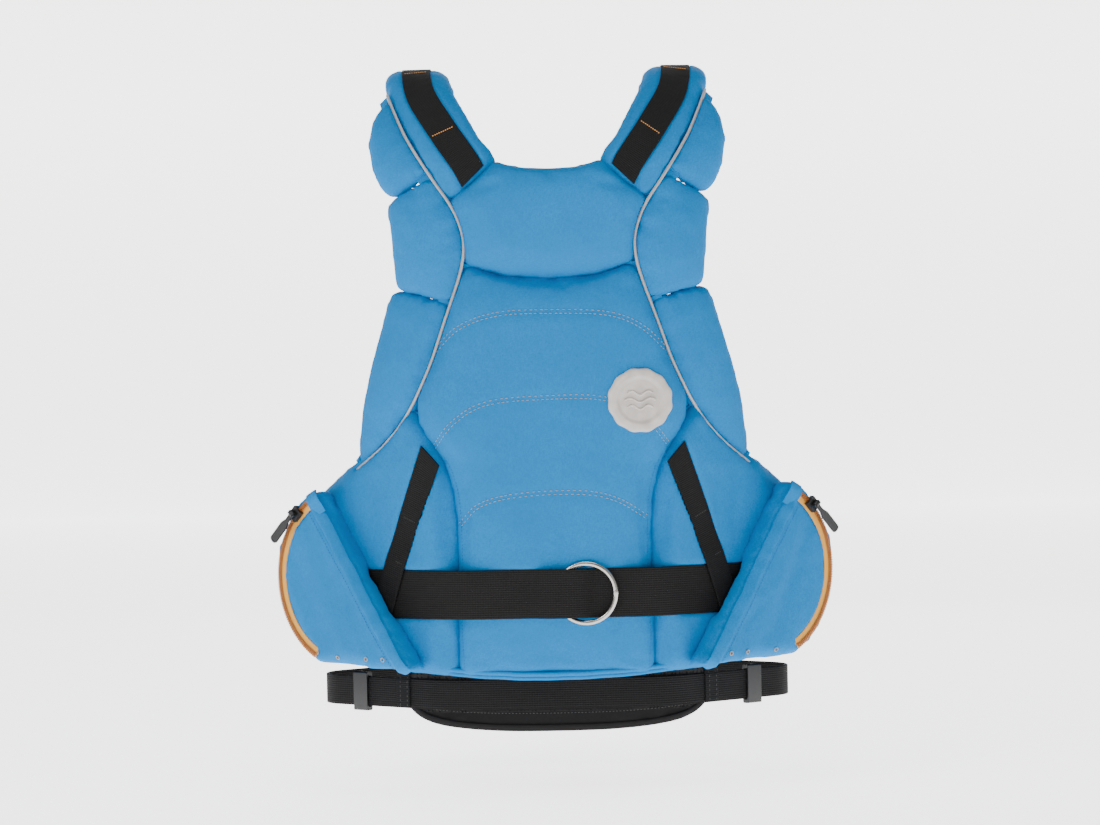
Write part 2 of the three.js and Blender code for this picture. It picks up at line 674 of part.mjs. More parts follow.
// Built with x along the belt, y outward and z up, centred on the belt.
const rescueBuckle = () => {
  const { half, depth, wall, play } = housing;
  const z = rescueWeb.z * gradeZ;
  const belt = frontDepth + chestBeltRise;
  const tall = rescueWeb.width / 2 + play;
  const inner = belt - rescueWeb.thickness / 2 - play;
  const outer = belt + rescueWeb.thickness / 2 + play;
  const face = inner - 1 + depth;
  const frame = cut(
    block(-half, half, inner - 1, face, z - tall - wall, z + tall + wall),
    block(-half - 1, half + 1, inner, outer, z - tall, z + tall),
  );
  const ears = [-1, 1].map((side) => {
    const [a, b] = [z + side * (lever.width / 2 + play), z + side * (lever.width / 2 + play + wall)];
    return block(half - 8, half, face - 1, face + lever.pin + 4, Math.min(a, b), Math.max(a, b));
  });
  const pinAt = (g) => g.rotateY(Math.PI / 2).translate(half - 4, face + lever.pin / 2 + 2, z);
  const reach = lever.width / 2 + play + wall / 2;
  const pin = pinAt(barX(lever.pin / 2, -reach, reach, 12));
  const leverBase = face + layerGap;
  const arm = block(
    half - 4 - lever.length, half - 4, leverBase, leverBase + lever.thickness,
    z - lever.width / 2, z + lever.width / 2,
  );
  const knuckle = pinAt(barX(lever.pin / 2 + 1.4, -lever.width / 2, lever.width / 2, 14));
  const bore = pinAt(barX(lever.pin / 2 + 0.4, -lever.width, lever.width, 12));
  const tipX = half - 4 - lever.length;
  const toggle = new THREE.SphereGeometry(lever.ball / 2, 14, 10);
  toggle.translate(tipX - lever.ball / 2 - 6, face + lever.ball / 2 - 2, z);
  const cord = barX(2, tipX - 12, tipX - layerGap, 8).translate(0, leverBase + lever.thickness / 2 + 1, z);
  return [
    piece('rescue_buckle_frame', join(frame, ...ears, pin), blackPlastic),
    piece('rescue_buckle_lever', cut(join(arm, knuckle), bore), blackPlastic),
    piece('release_toggle', join(toggle, cord), redPlastic),
  ];
};

// ------------------------------------------------------------------ waist clip
const waistClip = () => {
  const { height, depth, length, prong, play, beltGap } = clip;
  const z = waistWeb.z * gradeZ;
  const top = waistRise + waistWeb.thickness / 2 + play;
  const under = waistRise - waistWeb.thickness / 2 - play;
  const y = (rise) => frontDepth + rise;
  const h = height / 2;
  const slotHalf = waistWeb.width / 2 + play;
  const loop = (x0, x1) =>
    cut(block(x0, x1, y(under - 2), y(top + 2), z - h, z + h),
      block(x0 - 1, x1 + 1, y(under), y(top), z - slotHalf, z + slotHalf));
  const mouth = prong + play;
  const female = join(
    loop(beltGap + length - 8, beltGap + length),
    cut(block(beltGap, beltGap + length, y(top + 0.1), y(top + depth), z - h, z + h),
      block(beltGap - 1, beltGap + mouth, y(top + 2.2), y(top + depth - 2.2), z - h + 3, z + h - 3)),
  );
  const prongs = [-1, 1].map((side) => {
    const [a, b] = [z + side * (h - 3 - play), z + side * (h - 10)];
    return block(
      -2, beltGap + prong - play, y(top + 2.2 + play), y(top + depth - 2.2 - play),
      Math.min(a, b), Math.max(a, b),
    );
  });
  const male = join(
    loop(-length, -length + 8),
    block(-length, -1, y(top + 0.1), y(top + depth), z - h, z + h),
    ...prongs,
  );
  return [
    piece('waist_buckle_female', female, blackPlastic),
    piece('waist_buckle_male', male, blackPlastic),
  ];
};

// ----------------------------------------------------------------------- belts
const waistRise = 0.2 + waistWeb.thickness / 2;
const wingBeltRise = wingLoft + layerGap + 0.4 + rescueWeb.thickness / 2;
const backBeltRise = backLoft + 0.9 + rescueWeb.thickness / 2;
const ringHoleHalf = Math.sqrt((ring.inner / 2) ** 2 - (rescueWeb.width / 2) ** 2);

// Height of the rescue belt's middle at arc length u: up over the ring's left side, then under its right.
const ringLift = () => {
  const lean = (ring.rightRise - ring.leftRise) / (ring.inner + ring.wire);
  const nearRise = (ring.leftRise + ring.rightRise) / 2 - ringHoleHalf * lean;
  return nearRise + ring.wire / 2 + layerGap + rescueWeb.thickness / 2 + 0.9 - backBeltRise;
};

const rescueRise = (u) => {
  const outerReach = ring.inner / 2 + ring.wire;
  const climb = smoothstep(u, ring.x - outerReach - 20, ring.x - outerReach - 1);
  const under = smoothstep(u, ring.x - ringHoleHalf, ring.x + ringHoleHalf);
  const bump = ringLift() * (climb - under);
  const panelHalf = 80.8 * gradeX;
  const away = smoothstep(Math.abs(u), panelHalf - 16, panelHalf + 28);
  const rear = THREE.MathUtils.lerp(backBeltRise, wingBeltRise, away) + bump;
  const frontSeam = frontU(152 * gradeX);
  const rising = smoothstep(Math.abs(u), frontSeam - 16, frontSeam + 42);
  return THREE.MathUtils.lerp(rear, chestBeltRise, rising);
};

const belts = () => {
  const group = new THREE.Group();
  const z = rescueWeb.z * gradeZ;
  const end = sectionLength - housing.beltGap / 2;
  const zone = ring.inner;
  const [sideStart, sideEnd] = [backU(chestHalf - 20), frontU(chestHalf - 20)];
  const marks = [-end, -sideEnd, -sideStart, ring.x - zone, ring.x + zone, sideStart, sideEnd, end];
  const steps = [14, 6, 14, 5, 14, 6, 14];
  const rescueStations = [-end, ...steps.flatMap((step, i) => spaced(marks[i], marks[i + 1], step).slice(1))];
  const rescueBelt = strip(rescueStations, rescueWeb, rescueRise, (u, v, rise) => around(u, z + v, rise));
  const waistZ = waistWeb.z * gradeZ;
  const waistEnd = sectionLength - clip.beltGap / 2;
  const waistStations = spaced(-waistEnd, waistEnd, 14);
  const waistBelt = strip(
    waistStations, waistWeb, () => waistRise, (u, v, rise) => around(u, waistZ + v, rise),
  );
  group.add(
    piece('rescue_belt', rescueBelt, blackWeb),
    piece('tow_ring', towRing(), steel),
    piece('waist_pad', waistPad(), blackMesh),
    piece('waist_belt', waistBelt, blackWeb),
    ...rescueBuckle(),
    ...waistClip(),
  );
  return group;
};

const towRing = () => {
  const middle = (ring.inner + ring.wire) / 2;
  const tilt = Math.atan((ring.rightRise - ring.leftRise) / (2 * middle));
  const g = new THREE.TorusGeometry(middle, ring.wire / 2, 8, 24).rotateX(Math.PI / 2).rotateZ(-tilt);
  return g.translate(ring.x, -backDepth - (ring.leftRise + ring.rightRise) / 2, rescueWeb.z * gradeZ);
};

const waistPad = () => {
  const side = through(drawn([108, -558], [130, -545], [140, -520], [134, -494]));
  const shape = panel(
    mirrored(side), side,
    drawn([-60, -564], [0, -566], [60, -564]),
    drawn([-60, -494], [0, -494], [60, -494]),
  );
  const outside = -0.4;
  return bend(12, 3, (a, b, c) => {
    const p = shape(a, b);
    return onBack(p.x, p.y, THREE.MathUtils.lerp(outside - waistPadThickness, outside, c));
  });
};

// -------------------------------------------------------------- paired pieces
const pocketFrame = () => {
  const start = new THREE.Vector2(backFlatHalf * gradeX, -backDepth);
  const run = new THREE.Vector2(chestHalf, sideBack).sub(start).normalize();
  return {
    along: new THREE.Vector3(run.x, run.y, 0),
    out: new THREE.Vector3(run.y, -run.x, 0),
    start: new THREE.Vector3(start.x, start.y, 0),
  };
};

// Moves a piece built with x along the slanted side, y up and z outward on to that side.
const onSide = (geometry, p, z, rise) => {
  const { along, out, start } = pocketFrame();
  const m = new THREE.Matrix4().makeBasis(along, new THREE.Vector3(0, 0, 1), out);
  const at = start.clone().addScaledVector(along, p).addScaledVector(out, rise);
  m.setPosition(at.x, at.y, z);
  return geometry.applyMatrix4(m);
};

const pocketBase = wingLoft + layerGap;
const pocketFace = pocketBase + pocket.depth;

const sidePocket = () => {
  const { centreP, centreZ, radius, rim } = pocket;
  const reach = radius + rim;
  const [topAngle, endAngle] = [64, -58].map(THREE.MathUtils.degToRad);
  const shape = new THREE.Shape();
  shape.moveTo(-72, -80).lineTo(42, -76);
  shape.lineTo(reach * Math.cos(endAngle), reach * Math.sin(endAngle));
  shape.absarc(0, 0, reach, endAngle, topAngle);
  const bag = plate(shape, pocketFace - pocketBase, 14);
  const channelHalf = rescueWeb.width / 2 + 3;
  const beltZ = (rescueWeb.z - centreZ) * gradeZ;
  const channelTop = pocket.channelRise - pocketBase;
  const channel = block(-2 * reach, 2 * reach, beltZ - channelHalf, beltZ + channelHalf, -10, channelTop);
  return onSide(cut(bag, channel), centreP, centreZ * gradeZ, pocketBase);
};

const coilRadius = pocket.radius - zip.coilWidth / 2;

// Tape and coil in one section, carried round the pocket's rim.
const zipSection = () => {
  const half = zip.coilWidth / 2;
  const section = new THREE.Shape();
  const outside = half + 0.5;
  section.moveTo(half - zip.tapeWidth, 0).lineTo(outside, 0).lineTo(outside, zip.tape).lineTo(half, zip.tape);
  section.lineTo(half, zip.tape + zip.coil).lineTo(-half, zip.tape + zip.coil);
  return section.lineTo(-half, zip.tape).lineTo(half - zip.tapeWidth, zip.tape);
};

const pocketZip = () => {
  const band = sweep(zipSection(), 20, (t, x, y) => {
    const angle = THREE.MathUtils.degToRad(THREE.MathUtils.lerp(zip.end, zip.start, t));
    return new THREE.Vector3((coilRadius + x) * Math.cos(angle), (coilRadius + x) * Math.sin(angle), y);
  });
  return onSide(band, pocket.centreP, pocket.centreZ * gradeZ, pocketFace + 0.3);
};

const onZip = (geometry) => {
  const angle = THREE.MathUtils.degToRad(zip.park);
  geometry.translate(coilRadius, 0, zip.tape).rotateZ(angle);
  return onSide(geometry, pocket.centreP, pocket.centreZ * gradeZ, pocketFace + 0.3);
};

// A flat loop that the webbing passes through; x across the webbing, y along it, z out from it.
const glideGeometry = (web) => {
  const { length, bar, lip, play } = glide;
  const [w, h] = [web.width / 2 + play, web.thickness / 2 + play];
  const loop = plate(roundedRect(2 * (w + lip), 2 * (h + bar), 1.5), length, 3).translate(0, 0, -length / 2);
  return cut(loop, block(-w, w, -h, h, -length, length)).rotateX(Math.PI / 2);
};

const webCentre = () => {
  const start = levelAt(-87.5 * gradeZ);
  const climb = (x, share) => new THREE.Vector2(x * gradeX, THREE.MathUtils.lerp(start, 90, share));
  const chest = (x, angle) => new THREE.Vector2(x * gradeX, angle);
  return through([
    climb(64.5, 0), climb(76, 0.13), climb(88, 0.27), climb(104.3, 0.5), climb(112.5, 0.74), climb(115.5, 1),
    chest(109, 116), chest(98, 134), chest(87, 152), chest(77, 170), chest(73, 178),
  ]);
};

const humpRise = glide.bar + glide.play;
const webRise = (centre) => (t) => {
  const { y: level } = centre(t);
  const near = smoothstep(level, shoulderGlideAngle - 22, shoulderGlideAngle - 13);
  const far = smoothstep(level, shoulderGlideAngle + 13, shoulderGlideAngle + 22);
  return strapLoft + layerGap + shoulderWeb.thickness / 2 + 0.2 + humpRise * (near - far);
};

const glideOnShoulder = (centre, rise) => {
  const t = solve((at) => centre(at).y, shoulderGlideAngle, 0, 1);
  const { origin, run, out, side } = frameOn(centre, t, rise(t));
  const m = new THREE.Matrix4().makeBasis(side, run, out).setPosition(origin);
  return glideGeometry(shoulderWeb).applyMatrix4(m);
};

const suspenderCentre = () => {
  const points = drawn([97.5, -325], [109, -367], [123.5, -419], [135, -458]);
  return through(points.map((p) => new THREE.Vector2(p.x, levelAt(p.y))));
};

const suspenderRise = (t) => {
  const low = wingLoft + layerGap + suspenderWeb.thickness / 2 + 0.2;
  const overBelt = wingBeltRise + rescueWeb.thickness / 2 + layerGap + suspenderWeb.thickness / 2 + 0.4;
  return THREE.MathUtils.lerp(low, overBelt, smoothstep(t, 0.5, 0.68));
};

// Reflective piping: a round bead lying over the seam.
const pipingBead = () => {
  const radius = piping.width / 2;
  const bead = new THREE.Shape();
  bead.absarc(0, 0, radius, 0, Math.PI * 2);
  const rise = seamLoft + piping.lift + radius;
  const centre = (t) => {
    const p = pipingEdge(t);
    return new THREE.Vector2(p.x, levelAt(p.y));
  };
  return sweep(bead, 38, (t, x, y) => {
    const { place, out } = frameOn(centre, t, rise);
    return place(x).addScaledVector(out, y);
  });
};

const pairedPieces = (hand) => {
  const group = new THREE.Group();
  const add = (name, geometry, material) => group.add(piece(`${name}_${hand}`, geometry, material));
  for (const { name, inner, outer, bottom, top } of petals) {
    const leaf = coverAndFoam({
      shape: panel(inner, outer, bottom, top), place: onBack, cols: 4, rows: 5,
      base: petalBase, edge: seamLoft, loft: petalLoft, power: 2.2,
    });
    add(`petal_${name}_cover`, leaf.cover, blueCloth);
    add(`petal_${name}_foam`, leaf.foam, foam);
  }
  const strap = {
    shape: strapShape(), place: over, cols: 4, rows: 16, base: 0, edge: strapEdge, loft: strapLoft, power: 8,
  };
  add('shoulder_pad', padded(strap), blueCloth);
  const centre = webCentre();
  const rise = webRise(centre);
  add('shoulder_webbing', flatStrip(centre, 36, shoulderWeb, rise), blackWeb);
  add('shoulder_adjuster', glideOnShoulder(centre, rise), blackPlastic);
  const wing = {
    shape: wingShape(), place: around, cols: 15, rows: 6, base: 0, edge: wingEdge, loft: wingLoft, power: 8,
  };
  add('side_wing', padded(wing), blueCloth);
  add('piping', pipingBead(), greyPiping);
  add('rescue_suspender', flatStrip(suspenderCentre(), 14, suspenderWeb, suspenderRise), blackWeb);
  add('side_pocket', sidePocket(), blueCloth);
  add('pocket_zip', pocketZip(), zipOrange);
  add('zip_slider', onZip(sliderGeometry()), blackPlastic);
  add('zip_pull', onZip(pullGeometry()), blackPlastic);
  const waistGlide = glideGeometry(waistWeb).rotateZ(Math.PI / 2);
  add('waist_adjuster', onSide(waistGlide, waistGlideP, waistWeb.z * gradeZ, waistRise), blackPlastic);
  if (hand === 'left') group.scale.x = -1;
  return group;
};

const jacket = new THREE.Group();
jacket.add(backBody(), frontBody(), belts(), pairedPieces('right'), pairedPieces('left'));

export default jacket;
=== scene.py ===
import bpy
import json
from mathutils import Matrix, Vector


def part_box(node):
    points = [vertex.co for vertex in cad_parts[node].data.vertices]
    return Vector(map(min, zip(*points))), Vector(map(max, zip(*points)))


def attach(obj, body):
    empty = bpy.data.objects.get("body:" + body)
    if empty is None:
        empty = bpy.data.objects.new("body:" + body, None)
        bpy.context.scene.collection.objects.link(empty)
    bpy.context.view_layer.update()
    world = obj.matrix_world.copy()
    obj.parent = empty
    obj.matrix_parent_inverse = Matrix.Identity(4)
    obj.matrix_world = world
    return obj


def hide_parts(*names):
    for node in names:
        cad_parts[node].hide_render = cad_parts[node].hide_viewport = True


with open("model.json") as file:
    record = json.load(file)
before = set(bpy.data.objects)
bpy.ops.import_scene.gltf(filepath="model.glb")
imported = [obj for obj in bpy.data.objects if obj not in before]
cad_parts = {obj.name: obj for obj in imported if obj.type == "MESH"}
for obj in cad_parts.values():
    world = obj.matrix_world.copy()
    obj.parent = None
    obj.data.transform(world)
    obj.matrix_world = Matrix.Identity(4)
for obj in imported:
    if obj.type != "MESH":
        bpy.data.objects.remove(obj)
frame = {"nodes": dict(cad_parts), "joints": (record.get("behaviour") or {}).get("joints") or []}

"""Looks of a whitewater rescue life jacket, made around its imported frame.

Everything is in metres, in the frame's own axes: +Z is up, -Y is the wearer's back and +X is
the wearer's right. Sizes that a maker would say in millimetres are multiplied by MM.
"""

import json
import logging
import math
from dataclasses import dataclass, field
from enum import Enum
from typing import Callable, Iterable, Sequence

import bmesh
import bpy
import numpy as np
from mathutils import Matrix, Vector, noise
from mathutils.bvhtree import BVHTree
from mathutils.kdtree import KDTree

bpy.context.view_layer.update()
MM = 0.001
NODES = frame["nodes"]
LOG = logging.getLogger("jacket")

Colour = tuple[float, float, float]
Point2 = tuple[float, float]
Object = bpy.types.Object


class Hand(Enum):
    """Side of the wearer's body."""

    RIGHT = 1
    LEFT = -1

    @property
    def word(self) -> str:
        """The ending of this side's node names."""
        return self.name.lower()


HANDS = (Hand.RIGHT, Hand.LEFT)


# ------------------------------------------------------------------ finishes
class Nodes:
    """A short way to build a material's node tree."""

    def __init__(self, name: str) -> None:
        """Starts a material with its own Principled shader."""
        self.material = bpy.data.materials.new("look_" + name)
        self.material.use_nodes = True
        self.tree = self.material.node_tree
        self.shader = self.tree.nodes["Principled BSDF"]

    def add(self, kind: str, inputs: dict[str, object] | None = None, **settings: object) -> bpy.types.Node:
        """Adds a node.

        Args:
            kind: The node's type, without its ShaderNode prefix.
            inputs: Values for sockets, or other sockets to link from.
            **settings: Properties of the node itself.

        Returns:
            The new node.
        """
        node = self.tree.nodes.new("ShaderNode" + kind)
        for key, value in settings.items():
            setattr(node, key, value)
        for key, value in (inputs or {}).items():
            self.feed(node.inputs[key], value)
        return node

    def feed(self, socket: bpy.types.NodeSocket, value: object) -> None:
        """Links a socket from another, or sets its value."""
        if isinstance(value, bpy.types.NodeSocket):
            self.tree.links.new(value, socket)
        else:
            socket.default_value = value

    def set(self, **values: object) -> None:
        """Sets sockets of the shader, spaces in their names written as underscores."""
        for key, value in values.items():
            self.feed(self.shader.inputs[key.replace("_", " ")], value)

    def place(self, scale: Sequence[float], uv: bool = False) -> bpy.types.NodeSocket:
        """Gives Object coordinates, or UV ones, scaled along each axis."""
        source = self.add("TexCoord").outputs["UV" if uv else "Object"]
        return self.add("Mapping", {"Vector": source, "Scale": scale}).outputs["Vector"]

    def noise(self, scale: Sequence[float], detail: float = 2.0, uv: bool = False) -> bpy.types.NodeSocket:
        """Gives a noise's value, its grain as fine as scale says in cells per metre."""
        where = self.place(scale, uv)
        settings = {"Vector": where, "Scale": 1.0, "Detail": detail}
        return self.add("TexNoise", settings).outputs["Fac"]

    def bands(self, where: bpy.types.NodeSocket, axis: str, period: float) -> bpy.types.NodeSocket:
        """Gives soft bands across one axis, one every period."""
        scale = math.tau / (20 * period)
        settings = {"Vector": where, "Scale": scale, "Distortion": 0.0}
        return self.add("TexWave", settings, bands_direction=axis).outputs["Fac"]

    def math(self, operation: str, *values: object) -> bpy.types.NodeSocket:
        """Combines numbers."""
        node = self.add("Math", operation=operation)
        for socket, value in zip(node.inputs, values):
            self.feed(socket, value)
        return node.outputs[0]

    def blend(self, share: object, low: object, high: object) -> bpy.types.NodeSocket:
        """Mixes two colours."""
        node = self.add("Mix", data_type="RGBA")
        self.feed(node.inputs["Factor"], share)
        self.feed(node.inputs["A"], low)
        self.feed(node.inputs["B"], high)
        return node.outputs["Result"]

    def ramp(self, value: bpy.types.NodeSocket, low: float, high: float) -> bpy.types.NodeSocket:
        """Stretches low to high over 0 to 1."""
        settings = {"Value": value, "From Min": low, "From Max": high}
        return self.add("MapRange", settings).outputs["Result"]

    def relief(self, *layers: tuple[bpy.types.NodeSocket, float]) -> None:
        """Gives the shader relief from layers of height, each with its depth in metres."""
        normal = None
        for height, depth in layers:
            settings = {"Height": height, "Distance": depth, "Strength": 1.0}
            if normal is not None:
                settings["Normal"] = normal
            normal = self.add("Bump", settings).outputs["Normal"]
        self.set(Normal=normal)


def opaque(colour: Colour, share: float = 1.0) -> tuple[float, float, float, float]:
    """A colour, darkened by share, with full alpha."""
    return (colour[0] * share, colour[1] * share, colour[2] * share, 1.0)


@dataclass(frozen=True)
class ClothFinish:
    """Plain-weave coated nylon."""

    name: str
    colour: Colour
    thread: float = 0.55 * MM
    patch: float = 60 * MM
    roughness: float = 0.72
    relief: float = 0.16 * MM

    def material(self) -> bpy.types.Material:
        """Builds the finish."""
        nodes = Nodes(self.name)
        fine = 1 / self.thread
        warp = nodes.noise((fine, fine, fine * 0.22), 1.0)
        weft = nodes.noise((fine * 0.25, fine * 0.25, fine), 1.0)
        weave = nodes.math("MULTIPLY", nodes.math("ADD", warp, weft), 0.5)
        patches = nodes.noise((1 / self.patch,) * 3, 3.0)
        crease = nodes.noise((90, 90, 70), 3.0)
        tone = nodes.blend(
            nodes.ramp(patches, 0.3, 0.7), opaque(self.colour, 0.93), opaque(self.colour, 1.04),
        )
        tone = nodes.blend(nodes.ramp(weave, 0.34, 0.62), opaque(self.colour, 0.8), tone)
        nodes.set(Base_Color=tone, Roughness=self.roughness, Specular_IOR_Level=0.12)
        nodes.relief((weave, self.relief), (crease, 1.1 * MM))
        return nodes.material


@dataclass(frozen=True)
class WebbingFinish:
    """Ribbed webbing, patterned on UV coordinates in metres: across, then along."""

    name: str
    colour: Colour
    rib: float = 1.7 * MM
    thread: float = 1.1 * MM
    along: bool = False

    def material(self) -> bpy.types.Material:
        """Builds the finish."""
        nodes = Nodes(self.name)
        where = nodes.place((1, 1, 1), uv=True)
        ribs = nodes.bands(where, "X" if self.along else "Y", self.rib)
        threads = nodes.bands(where, "Y" if self.along else "X", self.thread)
        fuzz = nodes.noise((900, 900, 900), 3.0)
        wear = nodes.noise((40, 40, 40), 3.0)
        weave = nodes.math("ADD", nodes.math("MULTIPLY", ribs, 0.7), nodes.math("MULTIPLY", threads, 0.3))
        tone = nodes.blend(weave, opaque(self.colour, 0.4), opaque(self.colour, 1.7))
        worn = nodes.math("MULTIPLY", nodes.ramp(wear, 0.4, 0.9), 0.5)
        tone = nodes.blend(worn, tone, opaque(self.colour, 1.6))
        nodes.set(Base_Color=tone, Roughness=0.75, Specular_IOR_Level=0.16)
        nodes.relief((weave, 0.35 * MM), (fuzz, 0.12 * MM))
        return nodes.material


@dataclass(frozen=True)
class MeshFinish:
    """Spacer mesh with rows of small holes."""

    name: str
    colour: Colour
    hole: float = 3.2 * MM

    def material(self) -> bpy.types.Material:
        """Builds the finish."""
        nodes = Nodes(self.name)
        where = nodes.place((1, 1, 1))
        settings = {"Vector": where, "Scale": 1 / self.hole, "Randomness": 0.12}
        cells = nodes.add("TexVoronoi", settings, feature="F1").outputs["Distance"]
        open_mesh = nodes.ramp(cells, 0.24, 0.42)
        fuzz = nodes.noise((800, 800, 800), 2.0)
        tone = nodes.blend(open_mesh, opaque(self.colour, 0.18), opaque(self.colour))
        nodes.set(Base_Color=tone, Roughness=0.82, Specular_IOR_Level=0.25)
        nodes.relief((open_mesh, 0.9 * MM), (fuzz, 0.1 * MM))
        return nodes.material


@dataclass(frozen=True)
class PlasticFinish:
    """Moulded plastic or rubber, with a fine spark-eroded grain and handling marks."""

    name: str
    colour: Colour
    roughness: float = 0.42
    grain: float = 0.08 * MM

    def material(self) -> bpy.types.Material:
        """Builds the finish."""
        nodes = Nodes(self.name)
        grain = nodes.noise((1800, 1800, 1800), 2.0)
        marks = nodes.noise((120, 120, 120), 4.0)
        tone = nodes.blend(nodes.ramp(marks, 0.35, 0.75), opaque(self.colour, 0.9), opaque(self.colour, 1.12))
        rough = nodes.math("ADD", nodes.math("MULTIPLY", marks, 0.22), self.roughness - 0.11)
        nodes.set(Base_Color=tone, Roughness=rough)
        nodes.relief((grain, self.grain))
        return nodes.material


@dataclass(frozen=True)
class SteelFinish:
    """Polished stainless wire with fine drawing lines."""

    name: str
    colour: Colour
    roughness: float = 0.2

    def material(self) -> bpy.types.Material:
        """Builds the finish."""
        nodes = Nodes(self.name)
        lines = nodes.noise((260, 260, 2400), 2.0)
        smear = nodes.noise((150, 150, 150), 3.0)
        rough = nodes.math("ADD", nodes.math("MULTIPLY", smear, 0.2), self.roughness - 0.08)
        tone = nodes.blend(smear, opaque(self.colour, 0.9), opaque(self.colour))
        nodes.set(Base_Color=tone, Roughness=rough, Metallic=1.0)
        nodes.relief((lines, 0.02 * MM))
        return nodes.material


@dataclass(frozen=True)
class ThreadFinish:
    """Sewing thread, piping cover or zip tape: fine twisted yarn."""

    name: str
    colour: Colour
    roughness: float = 0.6
    metallic: float = 0.0

    def material(self) -> bpy.types.Material:
        """Builds the finish."""
        nodes = Nodes(self.name)
        yarn = nodes.noise((2200, 2200, 2200), 2.0)
        tone = nodes.blend(yarn, opaque(self.colour, 0.78), opaque(self.colour, 1.1))
        nodes.set(Base_Color=tone, Roughness=self.roughness, Metallic=self.metallic, Sheen_Weight=0.05)
        nodes.relief((yarn, 0.08 * MM))
        return nodes.material


class Finish(Enum):
    """Every finish of the jacket."""

    BLUE = ClothFinish("blue_cloth", (0.0, 0.170, 0.44))
    WEBBING = WebbingFinish("ribbed_webbing", (0.006, 0.0058, 0.0058))
    BELT = WebbingFinish("belt_webbing", (0.0065, 0.006, 0.0058), rib=1.9 * MM, thread=2.2 * MM, along=True)
    MESH = MeshFinish("spacer_mesh", (0.012, 0.0115, 0.0115))
    BINDING = ClothFinish("black_binding", (0.010, 0.0095, 0.0095), roughness=0.8)
    PLASTIC = PlasticFinish("black_acetal", (0.007, 0.007, 0.0075))
    RED = PlasticFinish("red_toggle", (0.42, 0.02, 0.012), roughness=0.3)
    RUBBER = PlasticFinish("pale_rubber", (0.50, 0.46, 0.43), roughness=0.6)
    STEEL = SteelFinish("steel_wire", (0.46, 0.44, 0.41))
    PIPING = ThreadFinish("reflective_piping", (0.36, 0.35, 0.36), 0.38, 0.25)
    GREY_THREAD = ThreadFinish("grey_thread", (0.27, 0.24, 0.22))
    BLUE_THREAD = ThreadFinish("blue_thread", (0.0, 0.07, 0.25))
    TACK_THREAD = ThreadFinish("orange_thread", (0.60, 0.26, 0.06))
    BLACK_THREAD = ThreadFinish("black_thread", (0.035, 0.034, 0.033))
    TAPE = ThreadFinish("zip_tape", (0.70, 0.33, 0.045), 0.75)
    COIL = ThreadFinish("zip_coil", (0.34, 0.10, 0.010), 0.4)

    def material(self) -> bpy.types.Material:
        """Gives this finish's material, built once."""
        return bpy.data.materials.get("look_" + self.value.name) or self.value.material()


# --------------------------------------------------------------- mesh helpers
def finished(obj: Object, finish: Finish, body: str,
             replaces: Iterable[str] = ()) -> Object:
    """Dresses a finished piece and ties it to its body.

    Args:
        obj: The piece, in place.
        finish: Its finish.
        body: The body that it rides on.
        replaces: CAD nodes that it stands for.

    Returns:
        The piece.
    """
    obj.data.materials.clear()
    obj.data.materials.append(finish.material())
    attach(obj, body)
    nodes = list(replaces)
    if nodes:
        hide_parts(*nodes)
    LOG.info("%s: %d faces on %s", obj.name, len(obj.data.polygons), body)
    return obj


def from_bmesh(name: str, bm: bmesh.types.BMesh, sharp: float = 40.0) -> Object:
    """Makes an object of a bmesh, smooth except at edges sharper than an angle in degrees."""
    bmesh.ops.recalc_face_normals(bm, faces=bm.faces)
    return from_oriented(name, bm, sharp)


def from_oriented(name: str, bm: bmesh.types.BMesh, sharp: float = 40.0) -> Object:
    """Makes an object of a bmesh whose faces already point the right way."""
    limit = math.radians(sharp)
    for face in bm.faces:
        face.smooth = True
    for edge in bm.edges:
        edge.smooth = len(edge.link_faces) != 2 or edge.calc_face_angle(0.0) < limit
    mesh = bpy.data.meshes.new(name)
    bm.to_mesh(mesh)
    bm.free()
    obj = bpy.data.objects.new(name, mesh)
    bpy.context.scene.collection.objects.link(obj)
    return obj


def merged(*names: str) -> bmesh.types.BMesh:
    """Copies CAD nodes into one bmesh with their loose triangles joined."""
    bm = bmesh.new()
    for name in names:
        bm.from_mesh(NODES[name].data)
    bmesh.ops.remove_doubles(bm, verts=bm.verts, dist=0.02 * MM)
    return bm


def apply_modifiers(obj: Object) -> None:
    """Turns what the modifiers give into the object's own mesh."""
    depsgraph = bpy.context.evaluated_depsgraph_get()
    mesh = bpy.data.meshes.new_from_object(obj.evaluated_get(depsgraph))
    obj.modifiers.clear()
    before = obj.data
    obj.data = mesh
    bpy.data.meshes.remove(before)


def coords(mesh: bpy.types.Mesh) -> np.ndarray:
    """Vertex positions as rows."""
    flat = np.empty(len(mesh.vertices) * 3)
    mesh.vertices.foreach_get("co", flat)
    return flat.reshape(-1, 3)


def set_coords(mesh: bpy.types.Mesh, rows: np.ndarray) -> None:
    """Writes vertex positions back."""
    mesh.vertices.foreach_set("co", rows.astype(np.float32).ravel())
    mesh.update()


def normals(mesh: bpy.types.Mesh) -> np.ndarray:
    """Vertex normals as rows."""
    flat = np.empty(len(mesh.vertices) * 3)
    mesh.vertex_normals.foreach_get("vector", flat)
    return flat.reshape(-1, 3)


def relax(obj: Object, times: int, factor: float = 0.5) -> None:
    """Smooths a mesh a few times."""
    bm = bmesh.new()
    bm.from_mesh(obj.data)
    for _ in range(times):
        bmesh.ops.smooth_vert(
            bm, verts=bm.verts, factor=factor, use_axis_x=True, use_axis_y=True, use_axis_z=True
        )
    bm.to_mesh(obj.data)
    bm.free()


